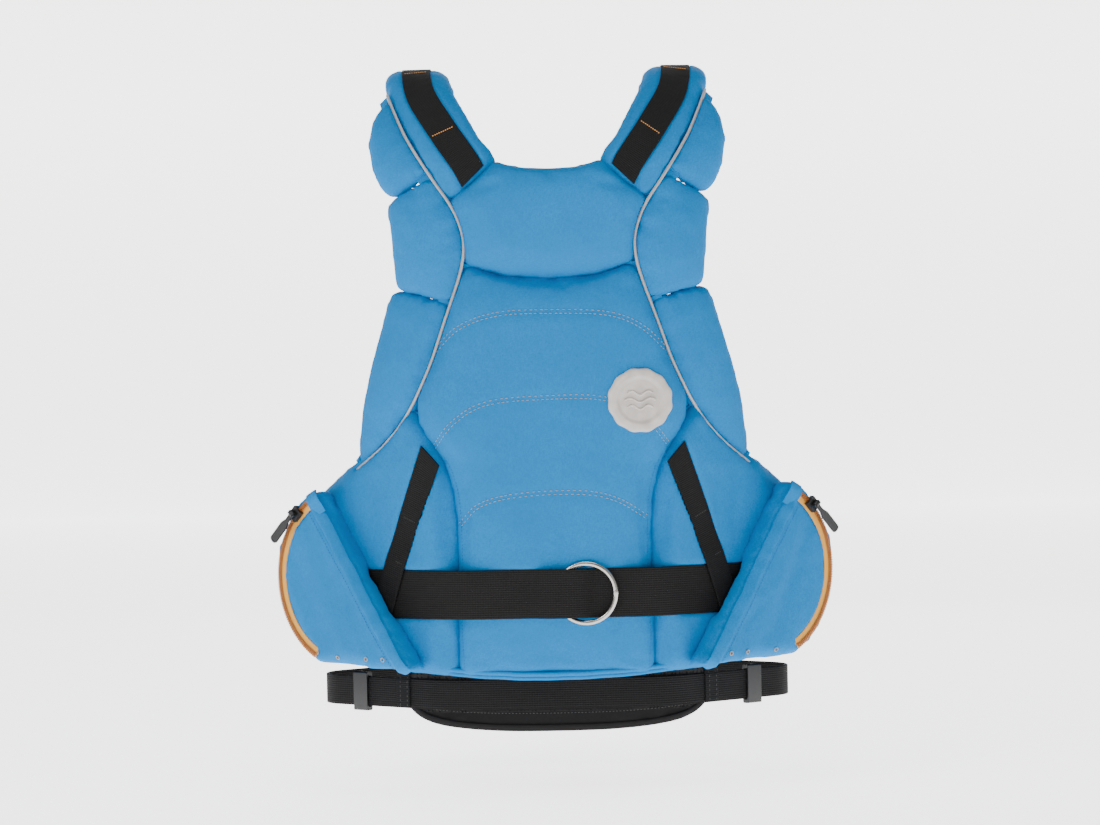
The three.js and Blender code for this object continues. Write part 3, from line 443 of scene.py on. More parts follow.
def keep_largest(obj: Object) -> None:
    """Deletes every loose part but the one with the most faces."""
    bm = bmesh.new()
    bm.from_mesh(obj.data)
    left = set(bm.verts)
    best: list[bmesh.types.BMVert] = []
    while left:
        stack = [next(iter(left))]
        left.discard(stack[0])
        part = []
        while stack:
            vert = stack.pop()
            part.append(vert)
            for edge in vert.link_edges:
                other = edge.other_vert(vert)
                if other in left:
                    left.discard(other)
                    stack.append(other)
        if len(part) > len(best):
            best = part
    kept = set(best)
    bmesh.ops.delete(bm, geom=[v for v in bm.verts if v not in kept], context="VERTS")
    bm.to_mesh(obj.data)
    bm.free()


def remesh(obj: Object, voxel: float) -> None:
    """Rebuilds an object's surface from voxels of one size."""
    modifier = obj.modifiers.new("voxels", "REMESH")
    modifier.mode = "VOXEL"
    modifier.voxel_size = voxel
    modifier.use_smooth_shade = True
    apply_modifiers(obj)
    keep_largest(obj)


def swell(obj: Object, pressure: float, cap: float, spare: float = 0.02) -> None:
    """Blows a closed piece up as stuffed cloth, no further than a cap.

    Args:
        obj: The piece, remeshed.
        pressure: The cloth's pressure.
        cap: How far a point may move out, in metres.
        spare: How much larger the cloth is cut than the form, as a share.
    """
    rest, outward = coords(obj.data), normals(obj.data)
    modifier = obj.modifiers.new("swell", "CLOTH")
    cloth = modifier.settings
    cloth.quality = 4
    cloth.mass = 0.25
    cloth.tension_stiffness = cloth.compression_stiffness = 12
    cloth.shear_stiffness = 4
    cloth.bending_stiffness = 0.3
    cloth.shrink_min = -spare
    cloth.use_pressure = True
    cloth.uniform_pressure_force = pressure
    cloth.effector_weights.gravity = 0
    modifier.collision_settings.use_collision = False
    modifier.point_cache.frame_start = 1
    modifier.point_cache.frame_end = 20
    scene = bpy.context.scene
    for step in range(1, 21):
        scene.frame_set(step)
    depsgraph = bpy.context.evaluated_depsgraph_get()
    swollen = coords(obj.evaluated_get(depsgraph).data)
    obj.modifiers.clear()
    scene.frame_set(1)
    rise = np.sum((swollen - rest) * outward, axis=1)
    set_coords(obj.data, rest + outward * np.clip(rise, -0.2 * MM, cap)[:, None])
    relax(obj, 1, 0.3)


def refine(obj: Object, levels: int = 1) -> None:
    """Subdivides an object's surface smoothly."""
    modifier = obj.modifiers.new("finer", "SUBSURF")
    modifier.levels = modifier.render_levels = levels
    apply_modifiers(obj)


def push(obj: Object, amount: Callable[[Vector], float]) -> None:
    """Moves each vertex along its normal by what amount gives for its place."""
    rows = coords(obj.data)
    outward = normals(obj.data)
    heights = np.array([amount(Vector(row)) for row in rows])
    set_coords(obj.data, rows + outward * heights[:, None])


def spread_outward(obj: Object, amount: float) -> None:
    """Moves a panel's edges out, its face by less, and the side against the wearer not at all."""
    rows = coords(obj.data)
    outward = normals(obj.data)
    facing = np.array([Vector(n).dot(outward_at(Vector(r))) for r, n in zip(rows, outward)])
    share = np.clip(1.4 + 2 * facing, 0, 1) * (1 - 0.65 * np.clip(facing, 0, 1))
    set_coords(obj.data, rows + outward * (amount * share)[:, None])


def tree_of(*objects: Object) -> BVHTree:
    """One search tree over several meshes."""
    verts: list[Vector] = []
    faces: list[tuple[int, ...]] = []
    for obj in objects:
        start = len(verts)
        verts.extend(v.co.copy() for v in obj.data.vertices)
        faces.extend(tuple(start + i for i in p.vertices) for p in obj.data.polygons)
    return BVHTree.FromPolygons(verts, faces)


def press_under(obj: Object, tree: BVHTree, gap: float, reach: float = 16 * MM) -> None:
    """Presses a soft piece in under whatever lies over it.

    Args:
        obj: The soft piece.
        tree: What lies over it.
        gap: Clearance to leave.
        reach: How deep inside the piece the search starts.
    """
    for turn in range(2):
        rows = coords(obj.data)
        outward = normals(obj.data)
        pressed = np.zeros(len(rows), bool)
        for i, (row, normal) in enumerate(zip(rows, outward)):
            direction = Vector(normal)
            start = Vector(row) - direction * reach
            hit = tree.ray_cast(start, direction, reach + gap)
            if hit[0] is not None:
                rows[i] = start + direction * (hit[3] - gap)
                pressed[i] = True
        set_coords(obj.data, rows)
        if turn == 0 and pressed.any():
            relax(obj, 2, 0.4)


def grain(point: Vector, size: Sequence[float], seed: float = 0.0) -> float:
    """Smooth noise from -1 to 1, with cells of a size in metres along each axis."""
    return noise.noise(Vector((point.x / size[0] + seed, point.y / size[1], point.z / size[2])))


@dataclass(frozen=True)
class Fold:
    """A soft crease or ridge between two points, as seen from behind in millimetres."""

    start: Point2
    end: Point2
    depth: float
    width: float

    def height(self, point: Vector) -> float:
        """How far the cloth moves out here."""
        ax, az = self.start[0] * MM, self.start[1] * MM
        bx, bz = self.end[0] * MM, self.end[1] * MM
        dx, dz = bx - ax, bz - az
        share = ((point.x - ax) * dx + (point.z - az) * dz) / (dx * dx + dz * dz)
        if not -0.15 < share < 1.15:
            return 0.0
        off = abs((point.x - ax) * dz - (point.z - az) * dx) / math.hypot(dx, dz)
        across = math.exp(-((off / (self.width * MM)) ** 2))
        middle = min(max(share, 0.0), 1.0)
        taper = math.sin(math.pi * (0.12 + 0.76 * middle)) if 0 < share < 1 else 0.0
        return self.depth * MM * across * taper


def mirrored_folds(folds: Iterable[Fold]) -> tuple[Fold, ...]:
    """The same folds on the other side, a little weaker."""
    return tuple(
        Fold((-f.start[0], f.start[1]), (-f.end[0], f.end[1]), 0.8 * f.depth, 1.1 * f.width) for f in folds
    )


def smooth_path(points: Sequence[Vector], step: float) -> list[Vector]:
    """Runs a smooth curve through points and cuts it into equal steps."""
    knots = [2 * points[0] - points[1], *points, 2 * points[-1] - points[-2]]
    fine: list[Vector] = []
    for a, b, c, d in zip(knots, knots[1:], knots[2:], knots[3:]):
        for k in range(24):
            t = k / 24
            square, cube = 2 * a - 5 * b + 4 * c - d, 3 * b - a - 3 * c + d
            fine.append(0.5 * (2 * b + (c - a) * t + square * t * t + cube * t**3))
    fine.append(points[-1].copy())
    lengths = [0.0]
    for a, b in zip(fine, fine[1:]):
        lengths.append(lengths[-1] + (b - a).length)
    count = max(1, round(lengths[-1] / step))
    even, i = [], 0
    for k in range(count + 1):
        target = lengths[-1] * k / count
        while i < len(lengths) - 2 and lengths[i + 1] < target:
            i += 1
        span = max(lengths[i + 1] - lengths[i], 1e-12)
        even.append(fine[i].lerp(fine[i + 1], min(1.0, (target - lengths[i]) / span)))
    return even


def flat_path(points: Iterable[Point2], step: float) -> list[Vector]:
    """Runs a smooth curve through (x, z) millimetres, seen from behind."""
    return smooth_path([Vector((x * MM, 0.0, z * MM)) for x, z in points], step)


def add_stitch(bm: bmesh.types.BMesh, place: Vector, run: Vector, normal: Vector, length: float,
               width: float) -> None:
    """Adds one stitch: a small bead drawn out along the seam."""
    side = run.cross(normal).normalized()
    out = side.cross(run).normalized()
    basis = Matrix((side * width / 2, run * length / 2, out * width * 0.42)).transposed().to_4x4()
    bmesh.ops.create_uvsphere(
        bm, u_segments=6, v_segments=4, radius=1.0, matrix=Matrix.Translation(place) @ basis
    )


def stitch_row(bm: bmesh.types.BMesh, line: Sequence[tuple[Vector, Vector]], pitch: float, length: float,
               width: float) -> None:
    """Sews along a line of places and normals that are one millimetre apart.

    Args:
        bm: What the stitches are added to.
        line: Places and normals along the seam.
        pitch: From one stitch to the next.
        length: Of one stitch.
        width: Of the thread.
    """
    if len(line) < 3:
        return
    travelled, due = 0.0, 0.0
    for i in range(1, len(line) - 1):
        travelled += (line[i][0] - line[i - 1][0]).length
        if travelled < due or (line[i][0] - line[i - 1][0]).length > 6 * MM:
            continue
        run = (line[i + 1][0] - line[i - 1][0]).normalized()
        jitter = 0.12 * noise.noise(line[i][0] * 800)
        add_stitch(bm, line[i][0], run, line[i][1], length * (1 + jitter), width)
        due = travelled + pitch


@dataclass
class Station:
    """One cross-section of a strip: its middle, its side direction and its outward direction."""

    middle: Vector
    side: Vector
    out: Vector


def strip_stations(node: str, outward_from: Vector) -> list[Station]:
    """Reads a CAD strip's cross-sections, in order from one end to the other.

    Args:
        node: The strip's node, four corners to each section.
        outward_from: A point inside the jacket, which the outward directions turn away from.

    Returns:
        The sections.
    """
    bm = merged(node)
    ring = min(strip_ends(bm), key=lambda verts: min((round(v.co.y, 4), v.co.x) for v in verts))
    seen: set[bmesh.types.BMVert] = set()
    stations: list[Station] = []
    while len(ring) == 4:
        seen |= ring
        station = section(list(ring))
        if stations:
            if station.side.dot(stations[-1].side) < 0:
                station.side = -station.side
            if station.out.dot(stations[-1].out) < 0:
                station.out = -station.out
        elif station.out.dot(station.middle - outward_from) < 0:
            station.out = -station.out
        stations.append(station)
        ring = {e.other_vert(v) for v in ring for e in v.link_edges} - seen
    bm.free()
    return stations


def strip_ends(bm: bmesh.types.BMesh) -> list[set[bmesh.types.BMVert]]:
    """Finds the corners of a strip's two ends: those that only one other section touches."""
    ends = []
    for edge in bm.edges:
        ring = {v for f in edge.link_faces for v in f.verts}
        around = ring | {e.other_vert(v) for v in ring for e in v.link_edges}
        if len(ring) == 4 and len(around) == 8 and ring not in ends:
            ends.append(ring)
    return ends


def section(verts: Sequence[bmesh.types.BMVert]) -> Station:
    """Reads one cross-section from its four corners, the two short sides being its thickness."""
    a, b, c, d = (v.co for v in verts)
    pairings = (((a, b), (c, d)), ((a, c), (b, d)), ((a, d), (b, c)))
    one, two = min(pairings, key=lambda pair: sum((p - q).length for p, q in pair))
    rise, other = one[1] - one[0], two[1] - two[0]
    rise = rise + other if rise.dot(other) > 0 else rise - other
    side = (one[0] + one[1]) - (two[0] + two[1])
    return Station((a + b + c + d) / 4, side.normalized(), rise.normalized())


def fine_stations(stations: Sequence[Station], step: float) -> list[Station]:
    """Cuts a strip's sections into finer, smooth ones."""
    middles = smooth_path([s.middle for s in stations], step)
    tree = KDTree(len(stations))
    for i, station in enumerate(stations):
        tree.insert(station.middle, i)
    tree.balance()
    fine = []
    for i, middle in enumerate(middles):
        near = tree.find_n(middle, 3)
        weights = [1 / (distance + 1 * MM) ** 2 for _, _, distance in near]
        out = sum((stations[k].out * w for (_, k, _), w in zip(near, weights)), Vector()).normalized()
        run = (middles[min(i + 1, len(middles) - 1)] - middles[max(i - 1, 0)]).normalized()
        side = run.cross(out).normalized()
        fine.append(Station(middle, side, side.cross(run).normalized()))
    return fine


def ribbon(name: str, stations: Sequence[Station], width: float, thickness: float, lift: float = 0.0,
           start_slant: float = 0.0, end_slant: float = 0.0, cells: int = 8, puff: float = 0.0) -> Object:
    """Lays a strip of webbing or a folded band along stations.

    Args:
        name: The piece's name.
        stations: Sections along it.
        width: Across it.
        thickness: Of it.
        lift: Added to its height.
        start_slant: How far one corner of the first end runs ahead of the other.
        end_slant: The same at the last end.
        cells: Faces across it.
        puff: Extra height in the middle of its width.

    Returns:
        The strip, with UV coordinates in metres: across, then along.
    """
    bm = bmesh.new()
    layer = bm.loops.layers.uv.new("UVMap")
    rows = len(stations) - 1
    bmesh.ops.create_grid(bm, x_segments=cells, y_segments=rows, size=0.5)
    steps = [(b.middle - a.middle).length for a, b in zip(stations, stations[1:])]
    total = sum(steps)
    marks = np.concatenate([[0.0], np.cumsum(steps)])
    ends = 25 * MM
    for face in bm.faces:
        for loop in face.loops:
            u, v = loop.vert.co.x + 0.5, loop.vert.co.y + 0.5
            loop[layer].uv = (u * width, marks[round(v * rows)])
    for vert in bm.verts:
        u, v = vert.co.x, round((vert.co.y + 0.5) * rows)
        here = stations[v]
        slant = start_slant * u * max(0.0, 1 - marks[v] / ends)
        slant += end_slant * u * max(0.0, 1 - (total - marks[v]) / ends)
        run = here.out.cross(here.side).normalized()
        height = lift + puff * (1 - (2 * u) ** 4)
        vert.co = here.middle + here.side * (u * width) + here.out * height - run * slant
    obj = from_oriented(name, bm)
    solid = obj.modifiers.new("thick", "SOLIDIFY")
    solid.thickness = thickness
    solid.offset = 0.0
    solid.use_even_offset = True
    bevel = obj.modifiers.new("edges", "BEVEL")
    bevel.width = 0.28 * thickness
    bevel.segments = 2
    bevel.limit_method = "ANGLE"
    bevel.angle_limit = math.radians(50)
    apply_modifiers(obj)
    return obj


def tube(name: str, path: Sequence[Vector], radius: float, sides: int = 10) -> Object:
    """Runs a round bead along a path."""
    curve = bpy.data.curves.new(name, "CURVE")
    curve.dimensions = "3D"
    curve.bevel_depth = radius
    curve.bevel_resolution = max(1, sides // 4)
    curve.use_fill_caps = True
    spline = curve.splines.new("POLY")
    spline.points.add(len(path) - 1)
    for point, place in zip(spline.points, path):
        point.co = (*place, 1.0)
    holder = bpy.data.objects.new(name + "_line", curve)
    bpy.context.scene.collection.objects.link(holder)
    depsgraph = bpy.context.evaluated_depsgraph_get()
    mesh = bpy.data.meshes.new_from_object(holder.evaluated_get(depsgraph))
    bpy.data.objects.remove(holder)
    bpy.data.curves.remove(curve)
    bm = bmesh.new()
    bm.from_mesh(mesh)
    bpy.data.meshes.remove(mesh)
    bmesh.ops.remove_doubles(bm, verts=bm.verts, dist=0.01 * MM)
    return from_bmesh(name, bm)


def hard_piece(name: str, node: str, finish: Finish, body: str, bevel: float = 0.5 * MM) -> Object:
    """Makes a moulded piece from its CAD node, with its edges rounded as a mould leaves them."""
    bm = merged(node)
    flat = math.radians(2)
    bmesh.ops.dissolve_limit(bm, angle_limit=flat, verts=bm.verts, edges=bm.edges, delimit=set())
    obj = from_oriented(name, bm)
    rounding = obj.modifiers.new("edges", "BEVEL")
    rounding.width = bevel
    rounding.segments = 2
    rounding.limit_method = "ANGLE"
    rounding.angle_limit = math.radians(35)
    rounding.use_clamp_overlap = True
    rounding.harden_normals = True
    apply_modifiers(obj)
    return finished(obj, finish, body, [node])


# ----------------------------------------------------------- padded panels
@dataclass
class Pad:
    """One stuffed or padded cloth panel, grown from its CAD solids."""

    name: str
    nodes: tuple[str, ...]
    voxel: float = 5 * MM
    cap: float = 3 * MM
    pressure: float = 4.0
    spare: float = 0.02
    spread: float = 3.4 * MM
    softness: int = 5
    wobble: float = 0.5 * MM
    folds: tuple[Fold, ...] = ()
    levels: int = 1
    extra: Callable[[Vector], float] | None = None

    def grow(self) -> Object:
        """Builds the panel's cloth.

        Returns:
            The panel, before anything presses on it.
        """
        bm = merged(self.nodes[0])
        for node in self.nodes[1:]:
            core = merged(node)
            core.normal_update()
            for vert in core.verts:
                vert.co += vert.normal * 1.7 * MM
            mesh = bpy.data.meshes.new("core")
            core.to_mesh(mesh)
            core.free()
            bm.from_mesh(mesh)
            bpy.data.meshes.remove(mesh)
        obj = from_oriented(self.name, bm)
        remesh(obj, self.voxel)
        relax(obj, self.softness)
        spread_outward(obj, self.spread)
        swell(obj, self.pressure, self.cap, self.spare)
        relax(obj, 1, 0.3)
        refine(obj, self.levels)
        seed = sum(map(ord, self.name)) * 0.37
        push(obj, lambda point: self.shape(point, seed))
        for polygon in obj.data.polygons:
            polygon.use_smooth = True
        return obj

    def shape(self, point: Vector, seed: float) -> float:
        """Height of the panel's folds and unevenness at a place."""
        height = self.wobble * grain(point, (38 * MM, 38 * MM, 52 * MM), seed)
        height += 0.35 * self.wobble * grain(point, (13 * MM, 13 * MM, 19 * MM), seed + 7)
        height += sum(fold.height(point) for fold in self.folds)
        if self.extra:
            height += self.extra(point)
        return height


def near_line(points: Sequence[Point2], step: float = 2 * MM) -> Callable[[Vector], tuple[float, float]]:
    """Makes a search for how near a place is to a seam, as seen from behind.

    Args:
        points: The seam, in (x, z) millimetres.
        step: How finely it is cut.

    Returns:
        A function that gives the distance to the seam and the way along it, in metres.
    """
    path = flat_path(points, step)
    tree = KDTree(len(path))
    for i, place in enumerate(path):
        tree.insert(place, i)
    tree.balance()

    def search(point: Vector) -> tuple[float, float]:
        _, index, distance = tree.find(Vector((point.x, 0.0, point.z)))
        return distance, index * step

    return search


def puckers(points: Sequence[Point2], depth: float, reach: float, pitch: float,
            seed: float) -> Callable[[Vector], float]:
    """Makes the small gathers that run in from a sewn seam.

    Args:
        points: The seam, in (x, z) millimetres.
        depth: Of a gather at the seam.
        reach: How far the gathers run in.
        pitch: From one gather to the next, roughly.
        seed: Sets their places.

    Returns:
        A function that gives the height at a place.
    """
    search = near_line(points)

    def height(point: Vector) -> float:
        distance, along = search(point)
        if distance > 3 * reach:
            return 0.0
        wave = noise.noise(Vector((along / pitch, seed, distance / (3 * reach))))
        return depth * wave * math.exp(-((distance / reach) ** 2))

    return height


class Facing:
    """The jacket's outside, looked at squarely from one side.

    A place is given by how far it lies along a level line and by its height.
    """

    def __init__(self, objects: Iterable[Object], origin: Vector, along: Vector, out: Vector) -> None:
        """Takes the pieces, the level line's start and direction, and the direction they face."""
        self.tree = tree_of(*objects)
        self.origin = origin
        self.along = along
        self.out = out

    def at(self, along: float, z: float, lift: float = 0.0) -> tuple[Vector, Vector] | None:
        """Gives the place and normal there, lifted off the surface."""
        start = self.origin + self.along * along + Vector((0, 0, z)) + self.out * 0.4
        place, normal, _, _ = self.tree.ray_cast(start, -self.out)
        if place is None:
            return None
        if normal.dot(self.out) < 0:
            normal = -normal
        return place + normal * lift, normal

    def trace(self, points: Sequence[Point2], step: float, lift: float) -> list[tuple[Vector, Vector]]:
        """Lays a line, drawn in millimetres along and up, on the surface in steps."""
        flat = smooth_path([Vector((u * MM, 0.0, z * MM)) for u, z in points], step)
        found = [self.at(p.x, p.z, lift) for p in flat]
        return [f for f in found if f is not None]

    def stations(self, points: Sequence[Point2], step: float, lift: float) -> list[Station]:
        """Gives a strip's sections along a line on the surface, their directions evened out."""
        line = self.trace(points, step, lift)
        made = []
        for i, (place, _) in enumerate(line):
            low, high = max(0, i - 4), min(len(line), i + 5)
            out = sum((normal for _, normal in line[low:high]), Vector()).normalized()
            run = (line[min(i + 1, len(line) - 1)][0] - line[max(i - 1, 0)][0]).normalized()
            side = run.cross(out).normalized()
            made.append(Station(place, side, side.cross(run).normalized()))
        return made


def from_behind(objects: Iterable[Object]) -> Facing:
    """Looks at pieces from behind the wearer."""
    return Facing(objects, Vector(), Vector((1, 0, 0)), Vector((0, -1, 0)))


def from_ahead(objects: Iterable[Object]) -> Facing:
    """Looks at pieces from in front of the wearer."""
    return Facing(objects, Vector(), Vector((1, 0, 0)), Vector((0, 1, 0)))


def outward_at(point: Vector) -> Vector:
    """The direction away from the wearer's body at a place on the jacket."""
    core = Vector((0.55 * point.x, 0.0, min(point.z, -95 * MM)))
    return (point - core).normalized()


def line_inside(obj: Object, finish: Finish = Finish.MESH) -> None:
    """Gives the faces that look at the wearer the lining's finish."""
    obj.data.materials.append(finish.material())
    for polygon in obj.data.polygons:
        if polygon.normal.dot(outward_at(polygon.center)) < -0.3:
            polygon.material_index = 1


def sewn(name: str, rows: Iterable[tuple[list[tuple[Vector, Vector]], float, float, float]], finish: Finish,
         body: str = "jacket") -> Object:
    """Makes one piece of thread from rows of stitches.

    Args:
        name: The piece's name.
        rows: For each row its line, its pitch, a stitch's length and the thread's width.
        finish: The thread.
        body: What it rides on.

    Returns:
        The thread.
    """
    bm = bmesh.new()
    for line, pitch, length, width in rows:
        stitch_row(bm, line, pitch, length, width)
    return finished(from_oriented(name, bm, 180), finish, body)


def beside(points: Sequence[Point2], offset: float) -> list[Point2]:
    """A line drawn beside another, to its left for a positive offset in millimetres."""
    moved = []
    for i, (x, z) in enumerate(points):
        a, b = points[max(i - 1, 0)], points[min(i + 1, len(points) - 1)]
        dx, dz = b[0] - a[0], b[1] - a[1]
        length = math.hypot(dx, dz)
        moved.append((x - offset * dz / length, z + offset * dx / length))
    return moved


def flipped(points: Iterable[Point2]) -> list[Point2]:
    """The same line on the other side of the body."""
    return [(-x, z) for x, z in points]


def for_hand(points: Sequence[Point2], hand: Hand) -> list[Point2]:
    """A line drawn for the right side, on the side asked for."""
    return list(points) if hand is Hand.RIGHT else flipped(points)


# ------------------------------------------------------------- the pattern
PIPING_SEAM: tuple[Point2, ...] = (
    (145, -8), (131, -38), (114, -68), (98, -92), (87, -112), (77, -140), (76, -165),
    (84, -190), (96, -222), (110, -256), (122, -284), (136, -304), (154, -322), (172, -338),
)
PANEL_SEAM: tuple[Point2, ...] = (
    (82.5, -516), (84.5, -467), (83, -423), (84, -372), (89, -344), (98, -326), (109, -309), (119, -292),
)
YOKE_SEAM: tuple[Point2, ...] = (
    (-78, -160), (-58, -166), (-40, -171), (0, -174.5), (40, -171), (58, -166), (78, -160),
)
TOP_STITCH: tuple[float, float, float] = (3.0 * MM, 2.1 * MM, 0.5 * MM)  # pitch, length and width
STRAP_SEAM: tuple[Point2, ...] = ((44, -74.6), (64, -91), (86, -107))


# ------------------------------------------------------------- sub-assemblies
@dataclass
class BackBody:
    """The yoke and back panel, their lining, stitching and patch."""

    patch_radius: float = 28 * MM
    patch_place: Point2 = (75, -281)
    stitch: float = 2.9 * MM
    pitch: float = 4.0 * MM
    thread: float = 0.75 * MM
    row_gap: float = 3.2
    arcs: tuple[tuple[Point2, ...], ...] = (
        ((-102, -237), (-79, -216), (-46, -205), (0, -203.5), (48, -206), (77, -217), (99, -237)),
        ((-104, -320), (-85, -297), (-55, -281), (0, -277), (42, -278.5), (75, -290), (99, -318)),
        ((-81, -385), (-63, -368), (-28, -360), (25, -359), (55, -366), (81, -382)),
    )
    yoke_folds: tuple[Fold, ...] = (
        Fold((84, -112), (72, -152), -1.4, 6), Fold((74, -108), (58, -150), -1.0, 7),
        Fold((79, -110), (66, -150), 1.1, 5), Fold((70, -98), (40, -92), -1.5, 4),
        Fold((60, -88), (30, -82), 0.9, 4),
    )
    panel_folds: tuple[Fold, ...] = (
        Fold((78, -506), (60, -500), -1.3, 5), Fold((76, -514), (52, -509), 1.2, 4),
        Fold((70, -516), (20, -505), -0.8, 6), Fold((80, -388), (60, -430), -0.9, 8),
        Fold((92, -236), (70, -262), -0.7, 8), Fold((84, -320), (60, -345), -0.7, 9),
        Fold((78, -178), (60, -186), -0.8, 6), Fold((40, -505), (-50, -510), 0.7, 5),
    )
    pads: dict[str, Object] = field(default_factory=dict)

    def grow(self) -> None:
        """Builds the two padded panels."""
        piping = [PIPING_SEAM, flipped(PIPING_SEAM)]
        gathers = [puckers(line, 1.1 * MM, 9 * MM, 11 * MM, 3.0 + i) for i, line in enumerate(piping)]
        seams = [puckers(line, 0.9 * MM, 7 * MM, 13 * MM, 9.0 + i)
                 for i, line in enumerate([PANEL_SEAM, flipped(PANEL_SEAM), YOKE_SEAM])]
        grooves = [near_line(arc) for arc in self.arcs]

        def relief(point: Vector) -> float:
            height = sum(f(point) for f in gathers + seams)
            if point.y < -80 * MM:
                for groove in grooves:
                    distance, along = groove(point)
                    height -= (0.75 * MM + 0.35 * MM * noise.noise(Vector((along / (9 * MM), 2.0, 5.0)))) \
                        * math.exp(-((distance / (4.2 * MM)) ** 2))
            return height

        yoke_folds = self.yoke_folds + mirrored_folds(self.yoke_folds)
        panel_folds = self.panel_folds + mirrored_folds(self.panel_folds)
        self.pads["yoke"] = Pad(
            "yoke", ("back_yoke_cover", "back_yoke_foam"), voxel=4 * MM, cap=3 * MM, softness=3,
            spread=4.2 * MM, folds=yoke_folds, extra=relief,
        ).grow()
        self.pads["panel"] = Pad(
            "back_panel", ("back_panel_cover", "back_panel_foam"), voxel=4.5 * MM, cap=3 * MM, softness=3,
            spread=4.2 * MM, folds=panel_folds, extra=relief,
        ).grow()

    def dress(self) -> None:
        """Finishes the panels and adds lining, stitches and patch."""
        finished(self.pads["yoke"], Finish.BLUE, "jacket",
                 ["back_yoke_cover", "back_yoke_foam"])
        finished(self.pads["panel"], Finish.BLUE, "jacket",
                 ["back_panel_cover", "back_panel_foam"])
        lining_sheet("back_liner", "back_lining")
        back = from_behind(self.pads.values())
        self.sew(back)
        self.patch(back)

    def sew(self, back: Facing) -> None:
        """Sews the quilting arcs and the top-stitching along the seams."""
        rows = []
        for i, arc in enumerate(self.arcs):
            for offset in (-self.row_gap / 2, self.row_gap / 2):
                line = back.trace(beside(arc, offset), 1 * MM, 0.15 * MM)
                if i == 1:
                    line = [p for p in line if self.off_patch(p[0])]
                rows.append((line, self.pitch, self.stitch, self.thread))
        sewn("quilting_thread", rows, Finish.GREY_THREAD)
        fine = []
        for hand in HANDS:
            side = for_hand(PANEL_SEAM[:-2], hand)
            inside = 3.4 if hand is Hand.RIGHT else -3.4
            fine.append((back.trace(beside(side, inside), 1 * MM, 0.1 * MM), 2.9 * MM, 2.0 * MM, 0.5 * MM))
        across = back.trace(beside(YOKE_SEAM[1:-1], -2.6), 1 * MM, 0.1 * MM)
        fine.append((across, 2.9 * MM, 2.0 * MM, 0.45 * MM))
        sewn("panel_topstitch", fine, Finish.BLUE_THREAD)

    def off_patch(self, place: Vector) -> bool:
        """Says whether a place is clear of the patch."""
        x, z = self.patch_place
        return math.hypot(place.x - x * MM, place.z - z * MM) > self.patch_radius + 1 * MM

    def patch(self, back: Facing) -> None:
        """Moulds the round patch: a raised scalloped rim, and three waves inside it."""
        bm = bmesh.new()
        rim = self.patch_radius
        profile = (
            (0.0, 1.5), (0.60, 1.5), (0.665, 1.7), (0.70, 3.0), (0.76, 3.4), (0.90, 3.2), (0.97, 2.6),
            (1.0, 0.6), (1.0, -1.5),
        )
        rings = [(r * rim, h * MM) for r, h in profile]
        line = [bm.verts.new((r, 0.0, h)) for r, h in rings]
        for a, b in zip(line, line[1:]):
            bm.edges.new((a, b))
        bmesh.ops.spin(
            bm, geom=bm.verts[:] + bm.edges[:], cent=(0, 0, 0), axis=(0, 0, 1), angle=math.tau,
            steps=72, use_merge=True, use_duplicate=False,
        )
        bmesh.ops.remove_doubles(bm, verts=bm.verts, dist=0.01 * MM)
        for vert in bm.verts:
            reach = math.hypot(vert.co.x, vert.co.y)
            if reach > 0.86 * rim:
                turn = math.atan2(vert.co.y, vert.co.x)
                vert.co.xy *= 1 - 0.018 * (1 + math.cos(12 * turn))
        self.drape(bm, back)
        finished(from_bmesh("patch", bm, 60), Finish.RUBBER, "jacket", ["badge"])
        waves = bmesh.new()
        for k in (-1, 0, 1):
            half = 13 * MM * (0.8 if k else 1.0)
            line = [
                Vector((
                    half * (t / 20 - 1),
                    1.7 * MM * math.sin(t / 40 * math.tau * 1.5) + 6 * MM * k,
                    1.9 * MM,
                ))
                for t in range(41)
            ]
            bead = tube("wave", line, 1.0 * MM)
            waves.from_mesh(bead.data)
            bpy.data.objects.remove(bead)
        self.drape(waves, back)
        finished(from_bmesh("patch_waves", waves), Finish.RUBBER, "jacket")

    def drape(self, bm: bmesh.types.BMesh, back: Facing) -> None:
        """Bends a flat moulding, drawn about its own centre, on to the back."""
        x, z = (c * MM for c in self.patch_place)
        for vert in bm.verts:
            found = back.at(x + vert.co.x, z + vert.co.y)
            if found:
                smooth = Vector()
                for dx, dz in ((-6, 0), (6, 0), (0, 6), (0, -6), (0, 0)):
                    near = back.at(x + vert.co.x + dx * MM, z + vert.co.y + dz * MM)
                    smooth += near[1] if near else found[1]
                vert.co = found[0] + smooth.normalized() * vert.co.z


def lining_sheet(name: str, node: str) -> Object:
    """Makes a thin lining of its CAD sheet, evened out."""
    bm = merged(node)
    bmesh.ops.subdivide_edges(bm, edges=bm.edges, cuts=1, use_grid_fill=True)
    obj = finished(from_oriented(name, bm, 60), Finish.BLUE, "jacket", [node])
    line_inside(obj)
    return obj


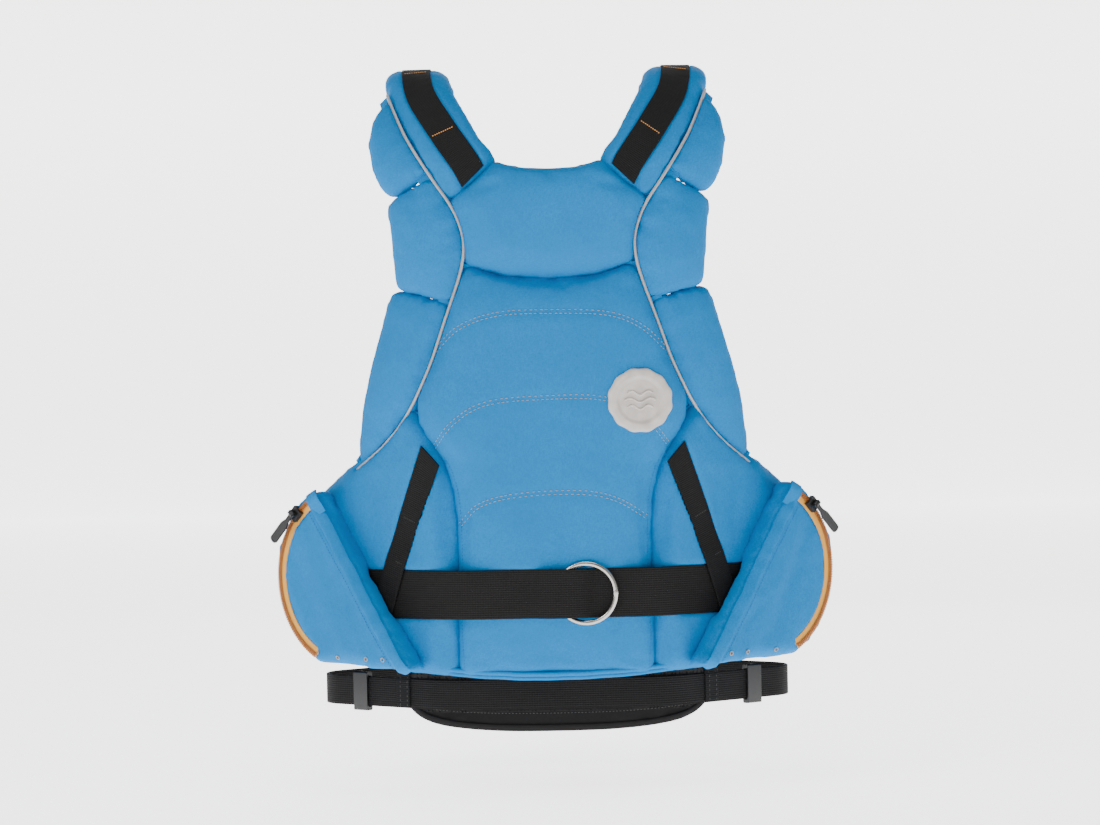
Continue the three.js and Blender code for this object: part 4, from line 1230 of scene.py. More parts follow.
@dataclass
class Petals:
    """The three foam leaves behind each shoulder, and the reflective piping they hang from."""

    hand: Hand
    names: tuple[str, ...] = ("upper", "middle", "lower")
    allowance_width: float = 23 * MM
    allowance_depth: float = 5.5 * MM
    pads: dict[str, Object] = field(default_factory=dict)

    def grow(self) -> None:
        """Builds the leaves, with gathers along the piping's seam."""
        seam = for_hand(PIPING_SEAM, self.hand)
        gathers = puckers(seam, 1.5 * MM, 12 * MM, 9 * MM, 20.0 + self.hand.value)
        for name in self.names:
            nodes = (f"petal_{name}_cover_{self.hand.word}", f"petal_{name}_foam_{self.hand.word}")
            self.pads[name] = Pad(
                f"petal_{name}_{self.hand.word}", nodes, voxel=3.4 * MM, cap=2.2 * MM, softness=3,
                spread=5 * MM, wobble=0.6 * MM, extra=gathers,
            ).grow()

    def dress(self) -> None:
        """Finishes the leaves, and lays the piping over their seam."""
        for name, obj in self.pads.items():
            nodes = [f"petal_{name}_cover_{self.hand.word}", f"petal_{name}_foam_{self.hand.word}"]
            finished(obj, Finish.BLUE, "jacket", nodes)
            line_inside(obj)
        node = f"piping_{self.hand.word}"
        bead = from_oriented("piping_bead_" + self.hand.word, merged(node), 60)
        refine(bead)
        finished(bead, Finish.PIPING, "jacket", [node])
        finished(self.allowance(), Finish.BLUE, "jacket")

    def allowance(self) -> Object:
        """Lays the cloth that the leaves and panels are sewn to, under the piping."""
        spine = NODES[f"piping_{self.hand.word}"].data.vertices
        tree = KDTree(len(spine))
        for i, vert in enumerate(spine):
            tree.insert((vert.co.x, 0.0, vert.co.z), i)
        tree.balance()
        flat = flat_path(for_hand(PIPING_SEAM, self.hand), 4 * MM)
        stations = []
        for point in flat:
            near = [spine[i].co for _, i, _ in tree.find_n(point, 6)]
            middle = sum(near, Vector()) / len(near)
            lean = 0.75 * self.hand.value * max(0.0, abs(middle.x) / 0.09 - 0.9)
            out = Vector((lean, -1.0, 0.0)).normalized()
            middle -= out * self.allowance_depth
            if not stations or (middle - stations[-1].middle).length > 2 * MM:
                stations.append(Station(middle, Vector(), out))
        for i, station in enumerate(stations):
            ahead = stations[min(i + 1, len(stations) - 1)].middle
            run = (ahead - stations[max(i - 1, 0)].middle).normalized()
            station.side = run.cross(station.out).normalized()
            station.out = station.side.cross(run).normalized()
        return ribbon("seam_allowance_" + self.hand.word, stations, self.allowance_width, 1.2 * MM, cells=4)


@dataclass
class ShoulderStrap:
    """One padded shoulder strap with its webbing, bar tacks and adjuster."""

    hand: Hand
    width: float = 25.4 * MM
    thickness: float = 2.0 * MM
    slant: float = 8 * MM
    tack_length: float = 21 * MM
    tack_heights: tuple[float, ...] = (-45 * MM, 13 * MM)
    folds: tuple[Fold, ...] = (
        Fold((60, -86), (78, -62), -1.6, 4), Fold((50, -78), (62, -58), 1.2, 4),
        Fold((84, -100), (92, -78), -1.3, 4), Fold((90, -70), (70, -56), -0.7, 4),
        Fold((100, -60), (110, -30), -0.6, 5),
    )
    pad: Object | None = None
    webbing: Object | None = None
    stations: list[Station] = field(default_factory=list)

    def grow(self) -> None:
        """Builds the padded strap."""
        folds = self.folds if self.hand is Hand.RIGHT else mirrored_folds(self.folds)
        seam = for_hand(STRAP_SEAM, self.hand)
        gathers = puckers(seam, 1.3 * MM, 12 * MM, 9 * MM, 31.0 + self.hand.value)
        self.pad = Pad(
            "strap_pad_" + self.hand.word, ("shoulder_pad_" + self.hand.word,), voxel=4 * MM, cap=2.6 * MM,
            folds=folds, wobble=0.4 * MM, extra=gathers,
        ).grow()

    def weave(self) -> None:
        """Lays the webbing along its CAD strip."""
        node = "shoulder_webbing_" + self.hand.word
        coarse = strip_stations(node, Vector((0.08 * self.hand.value, 0, -0.15)))
        self.stations = fine_stations(coarse, 3 * MM)
        slant = self.slant * math.copysign(1, self.stations[0].side.x * self.hand.value)
        self.webbing = ribbon(
            "strap_webbing_" + self.hand.word, self.stations, self.width, self.thickness, start_slant=slant,
        )

    def dress(self) -> None:
        """Finishes the strap and sews the bar tacks."""
        finished(self.pad, Finish.BLUE, "jacket", ["shoulder_pad_" + self.hand.word])
        line_inside(self.pad)
        finished(self.webbing, Finish.WEBBING, "jacket",
                 ["shoulder_webbing_" + self.hand.word])
        rows = []
        for height in self.tack_heights:
            behind = [s for s in self.stations if s.middle.y < -10 * MM]
            station = min(behind, key=lambda s: abs(s.middle.z - height))
            lean = 0.12 * (station.side.cross(station.out))
            start = station.middle - station.side * self.tack_length / 2 + station.out * (self.thickness / 2)
            across = (station.side + lean).normalized()
            line = [(start + across * k * MM, station.out) for k in range(int(self.tack_length / MM))]
            rows.append((line, 1.3 * MM, 1.7 * MM, 1.1 * MM))
        sewn("bar_tacks_" + self.hand.word, rows, Finish.TACK_THREAD)
        hard_piece("strap_glide_" + self.hand.word, "shoulder_adjuster_" + self.hand.word, Finish.PLASTIC,
                   "shoulder_glide_" + self.hand.word)


@dataclass
class SideWing:
    """One side panel and the strap that holds the rescue belt up."""

    hand: Hand
    strap_width: float = 22 * MM
    strap_thickness: float = 1.6 * MM
    rise: float = 11 * MM
    folds: tuple[Fold, ...] = (
        Fold((98, -335), (93, -415), -2.6, 6), Fold((106, -345), (104, -418), 1.8, 6),
        Fold((134, -352), (122, -415), -2.0, 6), Fold((146, -352), (139, -410), -1.7, 6),
        Fold((158, -352), (156, -395), -1.5, 6), Fold((98, -472), (92, -508), -2.4, 6),
        Fold((112, -470), (106, -508), 1.6, 6), Fold((122, -312), (152, -345), -1.0, 6),
    )
    pad: Object | None = None
    strap: Object | None = None
    stations: list[Station] = field(default_factory=list)

    def grow(self) -> None:
        """Builds the side panel."""
        folds = self.folds if self.hand is Hand.RIGHT else mirrored_folds(self.folds)
        seams = [puckers(for_hand(PANEL_SEAM, self.hand), 1.0 * MM, 8 * MM, 14 * MM, 41.0),
                 puckers(for_hand(PIPING_SEAM[-5:], self.hand), 1.2 * MM, 10 * MM, 11 * MM, 43.0)]
        self.pad = Pad(
            "side_panel_" + self.hand.word, ("side_wing_" + self.hand.word,), voxel=5 * MM, cap=3 * MM,
            spread=5 * MM, folds=folds, wobble=1.0 * MM, extra=lambda point: sum(f(point) for f in seams),
        ).grow()
        self.meet_leaf()

    def meet_leaf(self) -> None:
        """Draws the panel's upper edge up under the lowest leaf."""
        rows = coords(self.pad.data)
        for row in rows:
            out = abs(row[0]) / MM
            share = min(max((out - 105) / 25, 0.0), 1.0) * min(max((212 - out) / 30, 0.0), 1.0)
            share *= min(max((row[2] / MM + 392) / 40, 0.0), 1.0)
            row[2] += self.rise * share
        set_coords(self.pad.data, rows)

    def weave(self) -> None:
        """Lays the strap along its CAD strip."""
        node = "rescue_suspender_" + self.hand.word
        coarse = strip_stations(node, Vector((0.1 * self.hand.value, 0, -0.38)))
        self.stations = fine_stations(coarse, 3 * MM)
        slant = 10 * MM * math.copysign(1, self.stations[0].side.x * self.hand.value)
        self.strap = ribbon(
            "belt_hanger_" + self.hand.word, self.stations, self.strap_width, self.strap_thickness,
            start_slant=slant,
        )

    def dress(self) -> None:
        """Finishes the panel and the strap, and sews the strap's two tacks."""
        finished(self.pad, Finish.BLUE, "jacket", ["side_wing_" + self.hand.word])
        line_inside(self.pad)
        finished(self.strap, Finish.WEBBING, "jacket",
                 ["rescue_suspender_" + self.hand.word])
        rows = []
        for share, length in ((0.42, 15), (0.68, 10)):
            station = self.stations[round(share * (len(self.stations) - 1))]
            start = station.middle - station.side * (self.strap_width / 2 - 3 * MM)
            start += station.out * self.strap_thickness / 2
            line = [(start + station.side * k * MM, station.out) for k in range(length)]
            rows.append((line, 1.6 * MM, 1.5 * MM, 0.6 * MM))
        sewn("hanger_tacks_" + self.hand.word, rows, Finish.BLACK_THREAD)


@dataclass
class SidePocket:
    """One zipped side pocket: bag, folded edge band, zip, slider, pull and drain eyelets."""

    hand: Hand
    base: float = 20.5 * MM
    depth: float = 24.4 * MM
    edge_depth: float = 10 * MM
    channel: float = 8.5 * MM
    taper: float = 52 * MM
    edge_low: Point2 = (3, -510)
    edge_high: Point2 = (112.3, -353.6)
    centre: Point2 = (75, -430)
    coil_radius: float = 78 * MM
    tape_radius: float = 75.7 * MM
    tape_width: float = 9.4 * MM
    tape_thickness: float = 1.1 * MM
    zip_from: float = -62
    zip_to: float = 57
    tooth_pitch: float = 1.05 * MM
    band_width: float = 10.5 * MM
    eyelets: tuple[Point2, ...] = ((150, -500), (165, -500), (191, -500), (209, -496))
    bag: Object | None = None
    tape: Object | None = None

    def __post_init__(self) -> None:
        """Finds the slanted side that the pocket lies on, from its slider's joint."""
        name = "pocket_slider_run_" + self.hand.word
        joint = next(j for j in frame["joints"] if j["name"] == name)
        axis = Vector(joint["axis"])
        self.out = Vector((axis.x * self.hand.value, -abs(axis.y), 0)).normalized()
        if self.hand is Hand.LEFT:
            self.out = Vector((-abs(axis.x), -abs(axis.y), 0)).normalized()
        self.along = Vector((-self.out.y * self.hand.value, self.out.x * self.hand.value, 0))
        hub = Vector(joint["pos_m"])
        self.origin = hub - self.along * self.centre[0] * MM
        self.origin.z = 0.0
        self.hub = hub

    def at_angle(self, degrees: float, radius: float, rise: float) -> Vector:
        """A place round the pocket's rim, rise above the slanted side."""
        turn = math.radians(degrees)
        flat = self.hub + self.along * radius * math.cos(turn) + Vector((0, 0, radius * math.sin(turn)))
        return flat + self.out * rise

    def grow(self) -> None:
        """Builds the bag, thinner towards its inner edge."""
        node = "side_pocket_" + self.hand.word
        obj = from_oriented("pocket_bag_" + self.hand.word, merged(node))
        remesh(obj, 4.2 * MM)
        self.thin(obj)
        relax(obj, 3)
        swell(obj, 4.0, 2.4 * MM, 0.03)
        refine(obj)
        seed = 50.0 + self.hand.value
        edge = near_line([self.edge_low, self.edge_high])

        def sag(point: Vector) -> float:
            u = (point - self.origin).dot(self.along)
            slanted = Vector((u - 0.5 * point.z, 0.0, point.z + 0.5 * u))
            height = 1.7 * MM * grain(slanted, (24 * MM, 30 * MM, 70 * MM), seed)
            height += 0.5 * MM * grain(slanted, (11 * MM, 14 * MM, 26 * MM), seed + 3)
            distance, along = edge(Vector((u, 0.0, point.z)))
            gather = noise.noise(Vector((along / (12 * MM), seed, 0)))
            height += 0.9 * MM * gather * math.exp(-((distance / (16 * MM)) ** 2))
            return height

        push(obj, sag)
        self.bag = obj

    def thin(self, obj: Object) -> None:
        """Brings the bag's face down towards its inner edge and its hem."""
        (u0, z0), (u1, z1) = self.edge_low, self.edge_high
        length = math.hypot(u1 - u0, z1 - z0)
        nu, nz = (z1 - z0) / length, -(u1 - u0) / length
        rows = coords(obj.data)
        for i, row in enumerate(rows):
            place = Vector(row) - self.origin
            u, rise = place.dot(self.along), place.dot(self.out) - self.base
            inside = (u - u0 * MM) * nu + (row[2] - z0 * MM) * nz
            share = min(max(inside / self.taper, 0.0), 1.0)
            keep = share * share * (3 - 2 * share)
            slack = max(0.0, rise - self.channel)
            full = self.depth - self.channel
            drop = slack * (1 - keep) * (full - (self.edge_depth - self.channel)) / full
            hem = min(max((row[2] - z0 * MM) / (22 * MM), 0.0), 1.0)
            drop += max(0.0, slack - drop) * 0.45 * (1 - hem) ** 2
            rows[i] = row - np.array(self.out) * drop
        set_coords(obj.data, rows)

    def zip_line(self, radius: float, rise: float, step: float = 1.0) -> list[Station]:
        """Sections along the zip, turned as the rim turns."""
        count = round((self.zip_to - self.zip_from) / step)
        made = []
        for k in range(count + 1):
            angle = self.zip_from + (self.zip_to - self.zip_from) * k / count
            middle = self.at_angle(angle, radius, rise)
            side = (self.at_angle(angle, radius + 1, rise) - middle).normalized()
            made.append(Station(middle, side, self.out.copy()))
        return made

    def fit_zip(self) -> None:
        """Lays the zip's tape round the rim."""
        rise = self.base + self.depth + 0.3 * MM + self.tape_thickness / 2
        self.tape = ribbon(
            "zip_tape_" + self.hand.word, self.zip_line(self.tape_radius, rise - self.face_rise(), 2.0),
            self.tape_width, self.tape_thickness, cells=6,
        )

    def face_rise(self) -> float:
        """Height of the joint's point above the slanted side."""
        corner = Vector((95 * self.hand.value * MM, -100 * MM, 0))
        return (self.hub - corner).dot(self.out)

    def dress(self) -> None:
        """Finishes the bag and adds the band, zip, garage and eyelets."""
        word = self.hand.word
        finished(self.bag, Finish.BLUE, "jacket", ["side_pocket_" + word])
        facing = Facing([self.bag], self.origin, self.along, self.out)
        self.band(facing)
        finished(self.tape, Finish.TAPE, "jacket", ["pocket_zip_" + word])
        self.coil()
        self.garage()
        self.drains()
        slider, pull = "pocket_slider_" + word, "pocket_pull_" + word
        hard_piece("slider_" + word, "zip_slider_" + word, Finish.PLASTIC, slider, 0.6 * MM)
        hard_piece("pull_" + word, "zip_pull_" + word, Finish.PLASTIC, pull, 0.5 * MM)

    def band(self, facing: Facing) -> None:
        """Folds the band along the inner edge, with its two rows of stitches."""
        (u0, z0), (u1, z1) = self.edge_low, self.edge_high
        edge = [(u0 + 1, z0 + 1.5), ((u0 + u1) / 2, (z0 + z1) / 2), (u1 - 2, z1 - 3)]
        middle = beside(edge, -6.0)
        stations = facing.stations(middle, 3 * MM, 0.5 * MM)
        band = ribbon("pocket_band_" + self.hand.word, stations, self.band_width, 1.6 * MM,
                      puff=0.9 * MM, cells=8)
        finished(band, Finish.BLUE, "jacket")
        rows = []
        for offset, lift in ((-9.0, 1.5), (-15.0, 0.1)):
            line = facing.trace(beside(edge, offset), 1 * MM, lift * MM)
            rows.append((line, *TOP_STITCH))
        sewn("pocket_stitches_" + self.hand.word, rows, Finish.BLUE_THREAD)

    def coil(self) -> None:
        """Models the coil's two rows of teeth."""
        rise = self.base + self.depth - self.face_rise() + 0.3 * MM + self.tape_thickness + 0.9 * MM
        sweep = math.radians(self.zip_to - self.zip_from)
        count = round(sweep * self.coil_radius / self.tooth_pitch)
        bm = bmesh.new()
        for k in range(count + 1):
            angle = self.zip_from + (self.zip_to - self.zip_from) * k / count
            offset = 0.8 * MM * (1 if k % 2 else -1)
            place = self.at_angle(angle, self.coil_radius + offset, rise)
            side = (self.at_angle(angle, self.coil_radius + 1, rise) - place).normalized()
            add_stitch(bm, place, side, self.out, 3.6 * MM, 1.25 * MM)
        for offset in (-1.9, 1.9):
            for k in range(count // 2):
                angle = self.zip_from + (self.zip_to - self.zip_from) * (2 * k + 1) / count
                place = self.at_angle(angle, self.coil_radius + offset * MM, rise - 0.2 * MM)
                ahead = self.at_angle(angle + 1, self.coil_radius + offset * MM, rise - 0.2 * MM)
                add_stitch(bm, place, (ahead - place).normalized(), self.out, 1.9 * MM, 0.9 * MM)
        finished(from_oriented("zip_coil_" + self.hand.word, bm, 180), Finish.COIL, "jacket")

    def garage(self) -> None:
        """Folds the cloth tab over the zip's upper end."""
        face = self.base + self.depth - self.face_rise()
        heights = ((62, 0.7), (65, 1.2), (69, 2.4), (73, 4.0), (77, 4.6), (80, 4.2), (82.5, 2.6))
        stations = []
        angle = self.zip_to + 6
        for radius, lift in heights:
            middle = self.at_angle(angle, radius * MM, face + lift * MM)
            tangent = (self.at_angle(angle + 1, radius * MM, face + lift * MM) - middle).normalized()
            stations.append((middle, tangent))
        made = []
        for i, (middle, tangent) in enumerate(stations):
            run = (stations[min(i + 1, len(stations) - 1)][0] - stations[max(i - 1, 0)][0]).normalized()
            out = tangent.cross(run)
            out = out if out.dot(self.out) > -0.2 else -out
            made.append(Station(middle, run.cross(out).normalized(), out.normalized()))
        tab = ribbon("zip_garage_" + self.hand.word, made, 13 * MM, 1.6 * MM, puff=0.4 * MM)
        finished(tab, Finish.BLUE, "jacket")

    def drains(self) -> None:
        """Sets the small metal-rimmed drain holes near the hem."""
        back = from_behind([self.bag])
        bm = bmesh.new()
        for x, z in self.eyelets:
            found = back.at(x * self.hand.value * MM, z * MM, 0.2 * MM)
            if not found:
                continue
            place, normal = found
            turn = normal.to_track_quat("Z", "Y").to_matrix().to_4x4()
            one = bmesh.new()
            bmesh.ops.create_circle(one, cap_ends=False, radius=0.55 * MM, segments=8)
            for vert in one.verts:
                vert.co = Vector((vert.co.x + 1.7 * MM, 0.0, vert.co.y))
            bmesh.ops.spin(one, geom=one.verts[:] + one.edges[:], cent=(0, 0, 0), axis=(0, 0, 1),
                           angle=math.tau, steps=16, use_merge=True, use_duplicate=False)
            bmesh.ops.remove_doubles(one, verts=one.verts, dist=0.01 * MM)
            bmesh.ops.transform(one, matrix=Matrix.Translation(place) @ turn, verts=one.verts)
            mesh = bpy.data.meshes.new("eyelet")
            one.to_mesh(mesh)
            one.free()
            bm.from_mesh(mesh)
            bpy.data.meshes.remove(mesh)
        finished(from_bmesh("drain_eyelets_" + self.hand.word, bm, 180), Finish.GREY_THREAD, "jacket")


@dataclass
class Belts:
    """The rescue belt with its ring, and the waist belt on its pad."""

    rescue_width: float = 42 * MM
    waist_width: float = 26 * MM
    thickness: float = 2.0 * MM
    ring_wire: float = 4.6 * MM
    smooth_below: float = -548 * MM
    keeper_x: float = 48.5
    keeper_width: float = 15 * MM
    pad: Object | None = None
    rescue: Object | None = None
    waist: Object | None = None

    def weave(self) -> None:
        """Lays both belts and builds the waist pad."""
        inside = Vector((0, 0, -0.45))
        rescue = fine_stations(strip_stations("rescue_belt", inside), 4 * MM)
        self.rescue = ribbon("rescue_belt_webbing", rescue, self.rescue_width, self.thickness, cells=10)
        waist = fine_stations(strip_stations("waist_belt", inside), 4 * MM)
        self.waist = ribbon("waist_belt_webbing", waist, self.waist_width, self.thickness, cells=8)
        self.pad = Pad(
            "waist_cushion", ("waist_pad",), voxel=2.6 * MM, cap=1.2 * MM, softness=4,
            spread=1.5 * MM, wobble=0.12 * MM,
        ).grow()

    def dress(self) -> None:
        """Finishes the belts and the pad, and adds ring, keepers and bindings."""
        finished(self.rescue, Finish.BELT, "jacket", ["rescue_belt"])
        finished(self.waist, Finish.BELT, "jacket", ["waist_belt"])
        finished(self.pad, Finish.BINDING, "jacket", ["waist_pad"])
        self.pad.data.materials.append(Finish.MESH.material())
        for polygon in self.pad.data.polygons:
            if polygon.center.z > self.smooth_below:
                polygon.material_index = 1
        back = from_behind([self.pad])
        self.ring()
        self.piped_edges(back)
        for hand in HANDS:
            self.keeper(hand)
            hard_piece("waist_glide_piece_" + hand.word, "waist_adjuster_" + hand.word, Finish.PLASTIC,
                       "waist_glide_" + hand.word, 0.6 * MM)

    def ring(self) -> None:
        """Bends the towing ring's wire and closes it with a weld."""
        joint = next(j for j in frame["joints"] if j["name"] == "tow_ring_turn")
        low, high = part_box("tow_ring")
        middle = (high.z - low.z) / 2 - self.ring_wire / 2
        centre = (low + high) / 2
        bm = bmesh.new()
        bmesh.ops.create_circle(bm, cap_ends=False, radius=self.ring_wire / 2, segments=20)
        for vert in bm.verts:
            vert.co = Vector((vert.co.x + middle, 0.0, vert.co.y))
        bmesh.ops.spin(bm, geom=bm.verts[:] + bm.edges[:], cent=(0, 0, 0), axis=(0, 0, 1), angle=math.tau,
                       steps=96, use_merge=True, use_duplicate=False)
        bmesh.ops.remove_doubles(bm, verts=bm.verts, dist=0.01 * MM)
        for vert in bm.verts:
            turn = math.atan2(vert.co.y, vert.co.x)
            spine = Vector((middle * math.cos(turn), middle * math.sin(turn), 0))
            bulge = 1 + 0.07 * math.exp(-((abs(turn) - math.pi) / 0.05) ** 2)
            vert.co = spine + (vert.co - spine) * bulge
        turn = Vector(joint["axis"]).to_track_quat("Z", "Y").to_matrix().to_4x4()
        bmesh.ops.transform(bm, matrix=Matrix.Translation(centre) @ turn, verts=bm.verts)
        finished(from_bmesh("tow_ring_wire", bm, 180), Finish.STEEL, "tow_ring", ["tow_ring"])

    def piped_edges(self, back: Facing) -> None:
        """Binds the pad's edge and sews the border between its mesh and its smooth part."""
        outline = [(133, -498), (137, -520), (129, -541), (108, -554.5), (60, -561), (0, -562.5)]
        path = outline + flipped(outline[:-1])[::-1]
        stations = back.stations(path, 3 * MM, 0.1 * MM)
        edge = ribbon("pad_binding", stations, 6 * MM, 1.6 * MM, puff=0.9 * MM, cells=6)
        finished(edge, Finish.BINDING, "jacket")
        border = [(-124, -545), (-60, -549), (0, -550), (60, -549), (124, -545)]
        rows = [(back.trace(border, 1 * MM, 0.2 * MM), 2.6 * MM, 1.8 * MM, 0.7 * MM),
                (back.trace(beside(path, 4.2), 1 * MM, 0.2 * MM), 2.8 * MM, 1.9 * MM, 0.5 * MM)]
        sewn("pad_stitches", rows, Finish.BLACK_THREAD)

    def keeper(self, hand: Hand) -> None:
        """Sews a webbing tab over the waist belt."""
        outer = Facing([self.waist, self.pad], Vector((95 * hand.value * MM, -100 * MM, 0)),
                       Vector((0.7809 * hand.value, 0.6247, 0)), Vector((0.6247 * hand.value, -0.7809, 0)))
        line = [(self.keeper_x, -509), (self.keeper_x, -520), (self.keeper_x, -533), (self.keeper_x, -546),
                (self.keeper_x, -551)]
        belt_top = outer.at(self.keeper_x * MM, -533 * MM)
        stations = outer.stations(line, 2 * MM, 1.0 * MM)
        for station in stations:
            short = (belt_top[0] - station.middle).dot(outer.out)
            station.middle += outer.out * max(0.0, 0.8 * short)
        tab = ribbon("belt_keeper_" + hand.word, stations, self.keeper_width, 1.3 * MM)
        finished(tab, Finish.WEBBING, "jacket")
        rows = []
        for offset in (-5.0, 3.0):
            line = [(s.middle + s.side * offset * MM + s.out * 0.7 * MM, s.out) for s in stations]
            rows.append((line, 2.4 * MM, 2.4 * MM, 0.6 * MM))
        sewn("keeper_stitches_" + hand.word, rows, Finish.BLACK_THREAD)


@dataclass
class FrontBody:
    """The chest panel, its pocket and door, and the chest and waist buckles."""

    neckline: tuple[Point2, ...] = (
        (-66, -103), (-50, -106), (-28, -119), (0, -128), (28, -119), (50, -106), (66, -103),
    )
    pads: dict[str, Object] = field(default_factory=dict)

    def grow(self) -> None:
        """Builds the chest panel and the pocket's door."""
        folds = (
            Fold((120, -300), (80, -340), -1.2, 9), Fold((-120, -300), (-84, -345), -1.3, 8),
            Fold((90, -480), (60, -440), -1.0, 9), Fold((-100, -470), (-76, -430), -1.0, 9),
            Fold((40, -150), (76, -200), -0.8, 8), Fold((-40, -150), (-76, -205), -0.9, 8),
        )
        self.pads["chest"] = Pad(
            "chest_panel", ("front_cover", "front_foam"), voxel=5.5 * MM, cap=3 * MM, folds=folds,
            wobble=0.7 * MM,
        ).grow()
        self.pads["door"] = Pad(
            "chest_pocket_door", ("front_pocket_door",), voxel=2.4 * MM, cap=0.9 * MM, softness=2,
            spread=0.6 * MM, wobble=0.25 * MM, levels=0,
        ).grow()

    def dress(self) -> None:
        """Finishes the panels and adds the pocket, zip and buckles."""
        finished(self.pads["chest"], Finish.BLUE, "jacket", ["front_cover", "front_foam"])
        finished(self.pads["door"], Finish.BLUE, "front_door", ["front_pocket_door"])
        lining_sheet("front_liner", "front_lining")
        self.pocket()
        self.zip()
        self.sew()
        plastic = Finish.PLASTIC
        hard_piece("sheath_tab", "lash_tab", plastic, "jacket", 0.6 * MM)
        hard_piece("release_frame", "rescue_buckle_frame", plastic, "jacket", 0.8 * MM)
        hard_piece("release_lever", "rescue_buckle_lever", plastic, "rescue_lever", 0.6 * MM)
        hard_piece("toggle_ball", "release_toggle", Finish.RED, "rescue_lever", 0.3 * MM)
        hard_piece("clip_socket", "waist_buckle_female", plastic, "jacket", 0.9 * MM)
        hard_piece("clip_prongs", "waist_buckle_male", plastic, "waist_clip", 0.7 * MM)
        hard_piece("chest_slider", "front_zip_slider", plastic, "front_slider", 0.6 * MM)
        hard_piece("chest_pull", "front_zip_pull", plastic, "front_pull", 0.5 * MM)

    def pocket(self) -> None:
        """Softens the pocket's walls into a sewn bellows."""
        bm = merged("front_pocket_body")
        bmesh.ops.dissolve_limit(
            bm, angle_limit=math.radians(2), verts=bm.verts, edges=bm.edges, delimit=set(),
        )
        sharp = [e for e in bm.edges if e.calc_face_angle(0.0) > math.radians(40)]
        bmesh.ops.bevel(bm, geom=sharp, offset=1.0 * MM, segments=2, profile=0.5, affect="EDGES", material=-1)
        bmesh.ops.triangulate(bm, faces=bm.faces)
        for _ in range(5):
            long = [e for e in bm.edges if e.calc_length() > 7 * MM]
            bmesh.ops.subdivide_edges(bm, edges=long, cuts=1)
            bmesh.ops.triangulate(bm, faces=[f for f in bm.faces if len(f.verts) > 3])
        obj = from_oriented("chest_pocket", bm, 50)
        low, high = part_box("front_pocket_body")

        def bellows(point: Vector) -> float:
            share = (point.y - low.y) / (high.y - low.y)
            inner = low.x + 4 * MM < point.x < high.x - 4 * MM and low.z + 4 * MM < point.z < high.z - 4 * MM
            if inner:
                return 0.0
            uneven = 1 + 0.3 * grain(point, (0.03,) * 3, 5)
            return -1.3 * MM * math.sin(math.pi * share) ** 2 * uneven

        push(obj, bellows)
        finished(obj, Finish.BLUE, "jacket", ["front_pocket_body"])

    def zip(self) -> None:
        """Models the door's zip: tape and teeth."""
        low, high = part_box("front_pocket_zip")
        x, y = (low.x + high.x) / 2, low.y + 0.6 * MM
        tall = high.z - low.z
        line = [
            Station(Vector((x, y, low.z + tall * k / 40)), Vector((-1, 0, 0)), Vector((0, 1, 0)))
            for k in range(41)
        ]
        tape = ribbon("chest_zip_tape", line, high.x - low.x, 1.1 * MM, cells=6)
        finished(tape, Finish.TAPE, "front_door", ["front_pocket_zip"])
        bm = bmesh.new()
        pitch = 1.05 * MM
        for k in range(int(tall / pitch)):
            place = Vector((x + 0.8 * MM * (1 if k % 2 else -1), low.y + 2.0 * MM, low.z + (k + 0.5) * pitch))
            add_stitch(bm, place, Vector((1, 0, 0)), Vector((0, 1, 0)), 3.6 * MM, 1.25 * MM)
        finished(from_oriented("chest_zip_teeth", bm, 180), Finish.COIL, "front_door")

    def sew(self) -> None:
        """Top-stitches the chest panel, the door and the neckline."""
        chest = from_ahead([self.pads["chest"]])
        side = [(142, -490), (142, -420), (141, -338), (131, -318), (102, -264), (80, -204), (74, -154)]
        hem = [(-130, -498), (0, -499), (130, -498)]
        rows = [(chest.trace(line, 1 * MM, 0.1 * MM), *TOP_STITCH)
                for line in (side, flipped(side), hem, self.neckline)]
        sewn("chest_topstitch", rows, Finish.BLUE_THREAD)
        door = from_ahead([self.pads["door"]])
        low, high = (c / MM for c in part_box("front_pocket_door"))
        box = [(low.x + 5, low.z + 5), (low.x + 5, high.z - 5), (high.x - 5, high.z - 5)]
        tack = [(-40, (low.z + high.z) / 2), (40, (low.z + high.z) / 2)]
        edge = [box[0], ((box[0][0] + box[1][0]) / 2, -309), box[1]]
        top = [box[1], (0, box[1][1]), box[2]]
        rows = [(door.trace(line, 1 * MM, 0.1 * MM), *TOP_STITCH)
                for line in (edge, top, tack)]
        sewn("door_topstitch", rows, Finish.BLUE_THREAD, "front_door")


@dataclass
class Hem:
    """The rolled double binding along the bottom of the back."""

    line: tuple[Point2, ...] = (
        (-146, -505), (-112, -509.5), (-84, -514), (-44, -517), (0, -518), (44, -517), (84, -514),
        (112, -509.5), (146, -505),
    )
    roll: float = 2.3 * MM

    def build(self, pads: Iterable[Object]) -> None:
        """Rolls the two bindings."""
        back = from_behind(pads)
        flat = flat_path(self.line, 4 * MM)
        depths = []
        for point in flat:
            found = back.at(point.x, point.z + 12 * MM)
            depths.append(found[0].y if found else (depths[-1] if depths else -0.11))
        windows = [depths[max(0, i - 4):i + 5] for i in range(len(depths))]
        even = [sum(window) / len(window) for window in windows]
        for k, (drop, deeper) in enumerate(((0.0, 5.5 * MM), (3.4 * MM, 3.4 * MM))):
            path = [
                Vector((
                    p.x,
                    y + deeper + 0.5 * MM * noise.noise(p * 60),
                    p.z + drop + 0.6 * MM * noise.noise(p * 45),
                ))
                for p, y in zip(flat, even)
            ]
            finished(tube(f"hem_roll_{k + 1}", path, self.roll, 12), Finish.BLUE, "jacket")


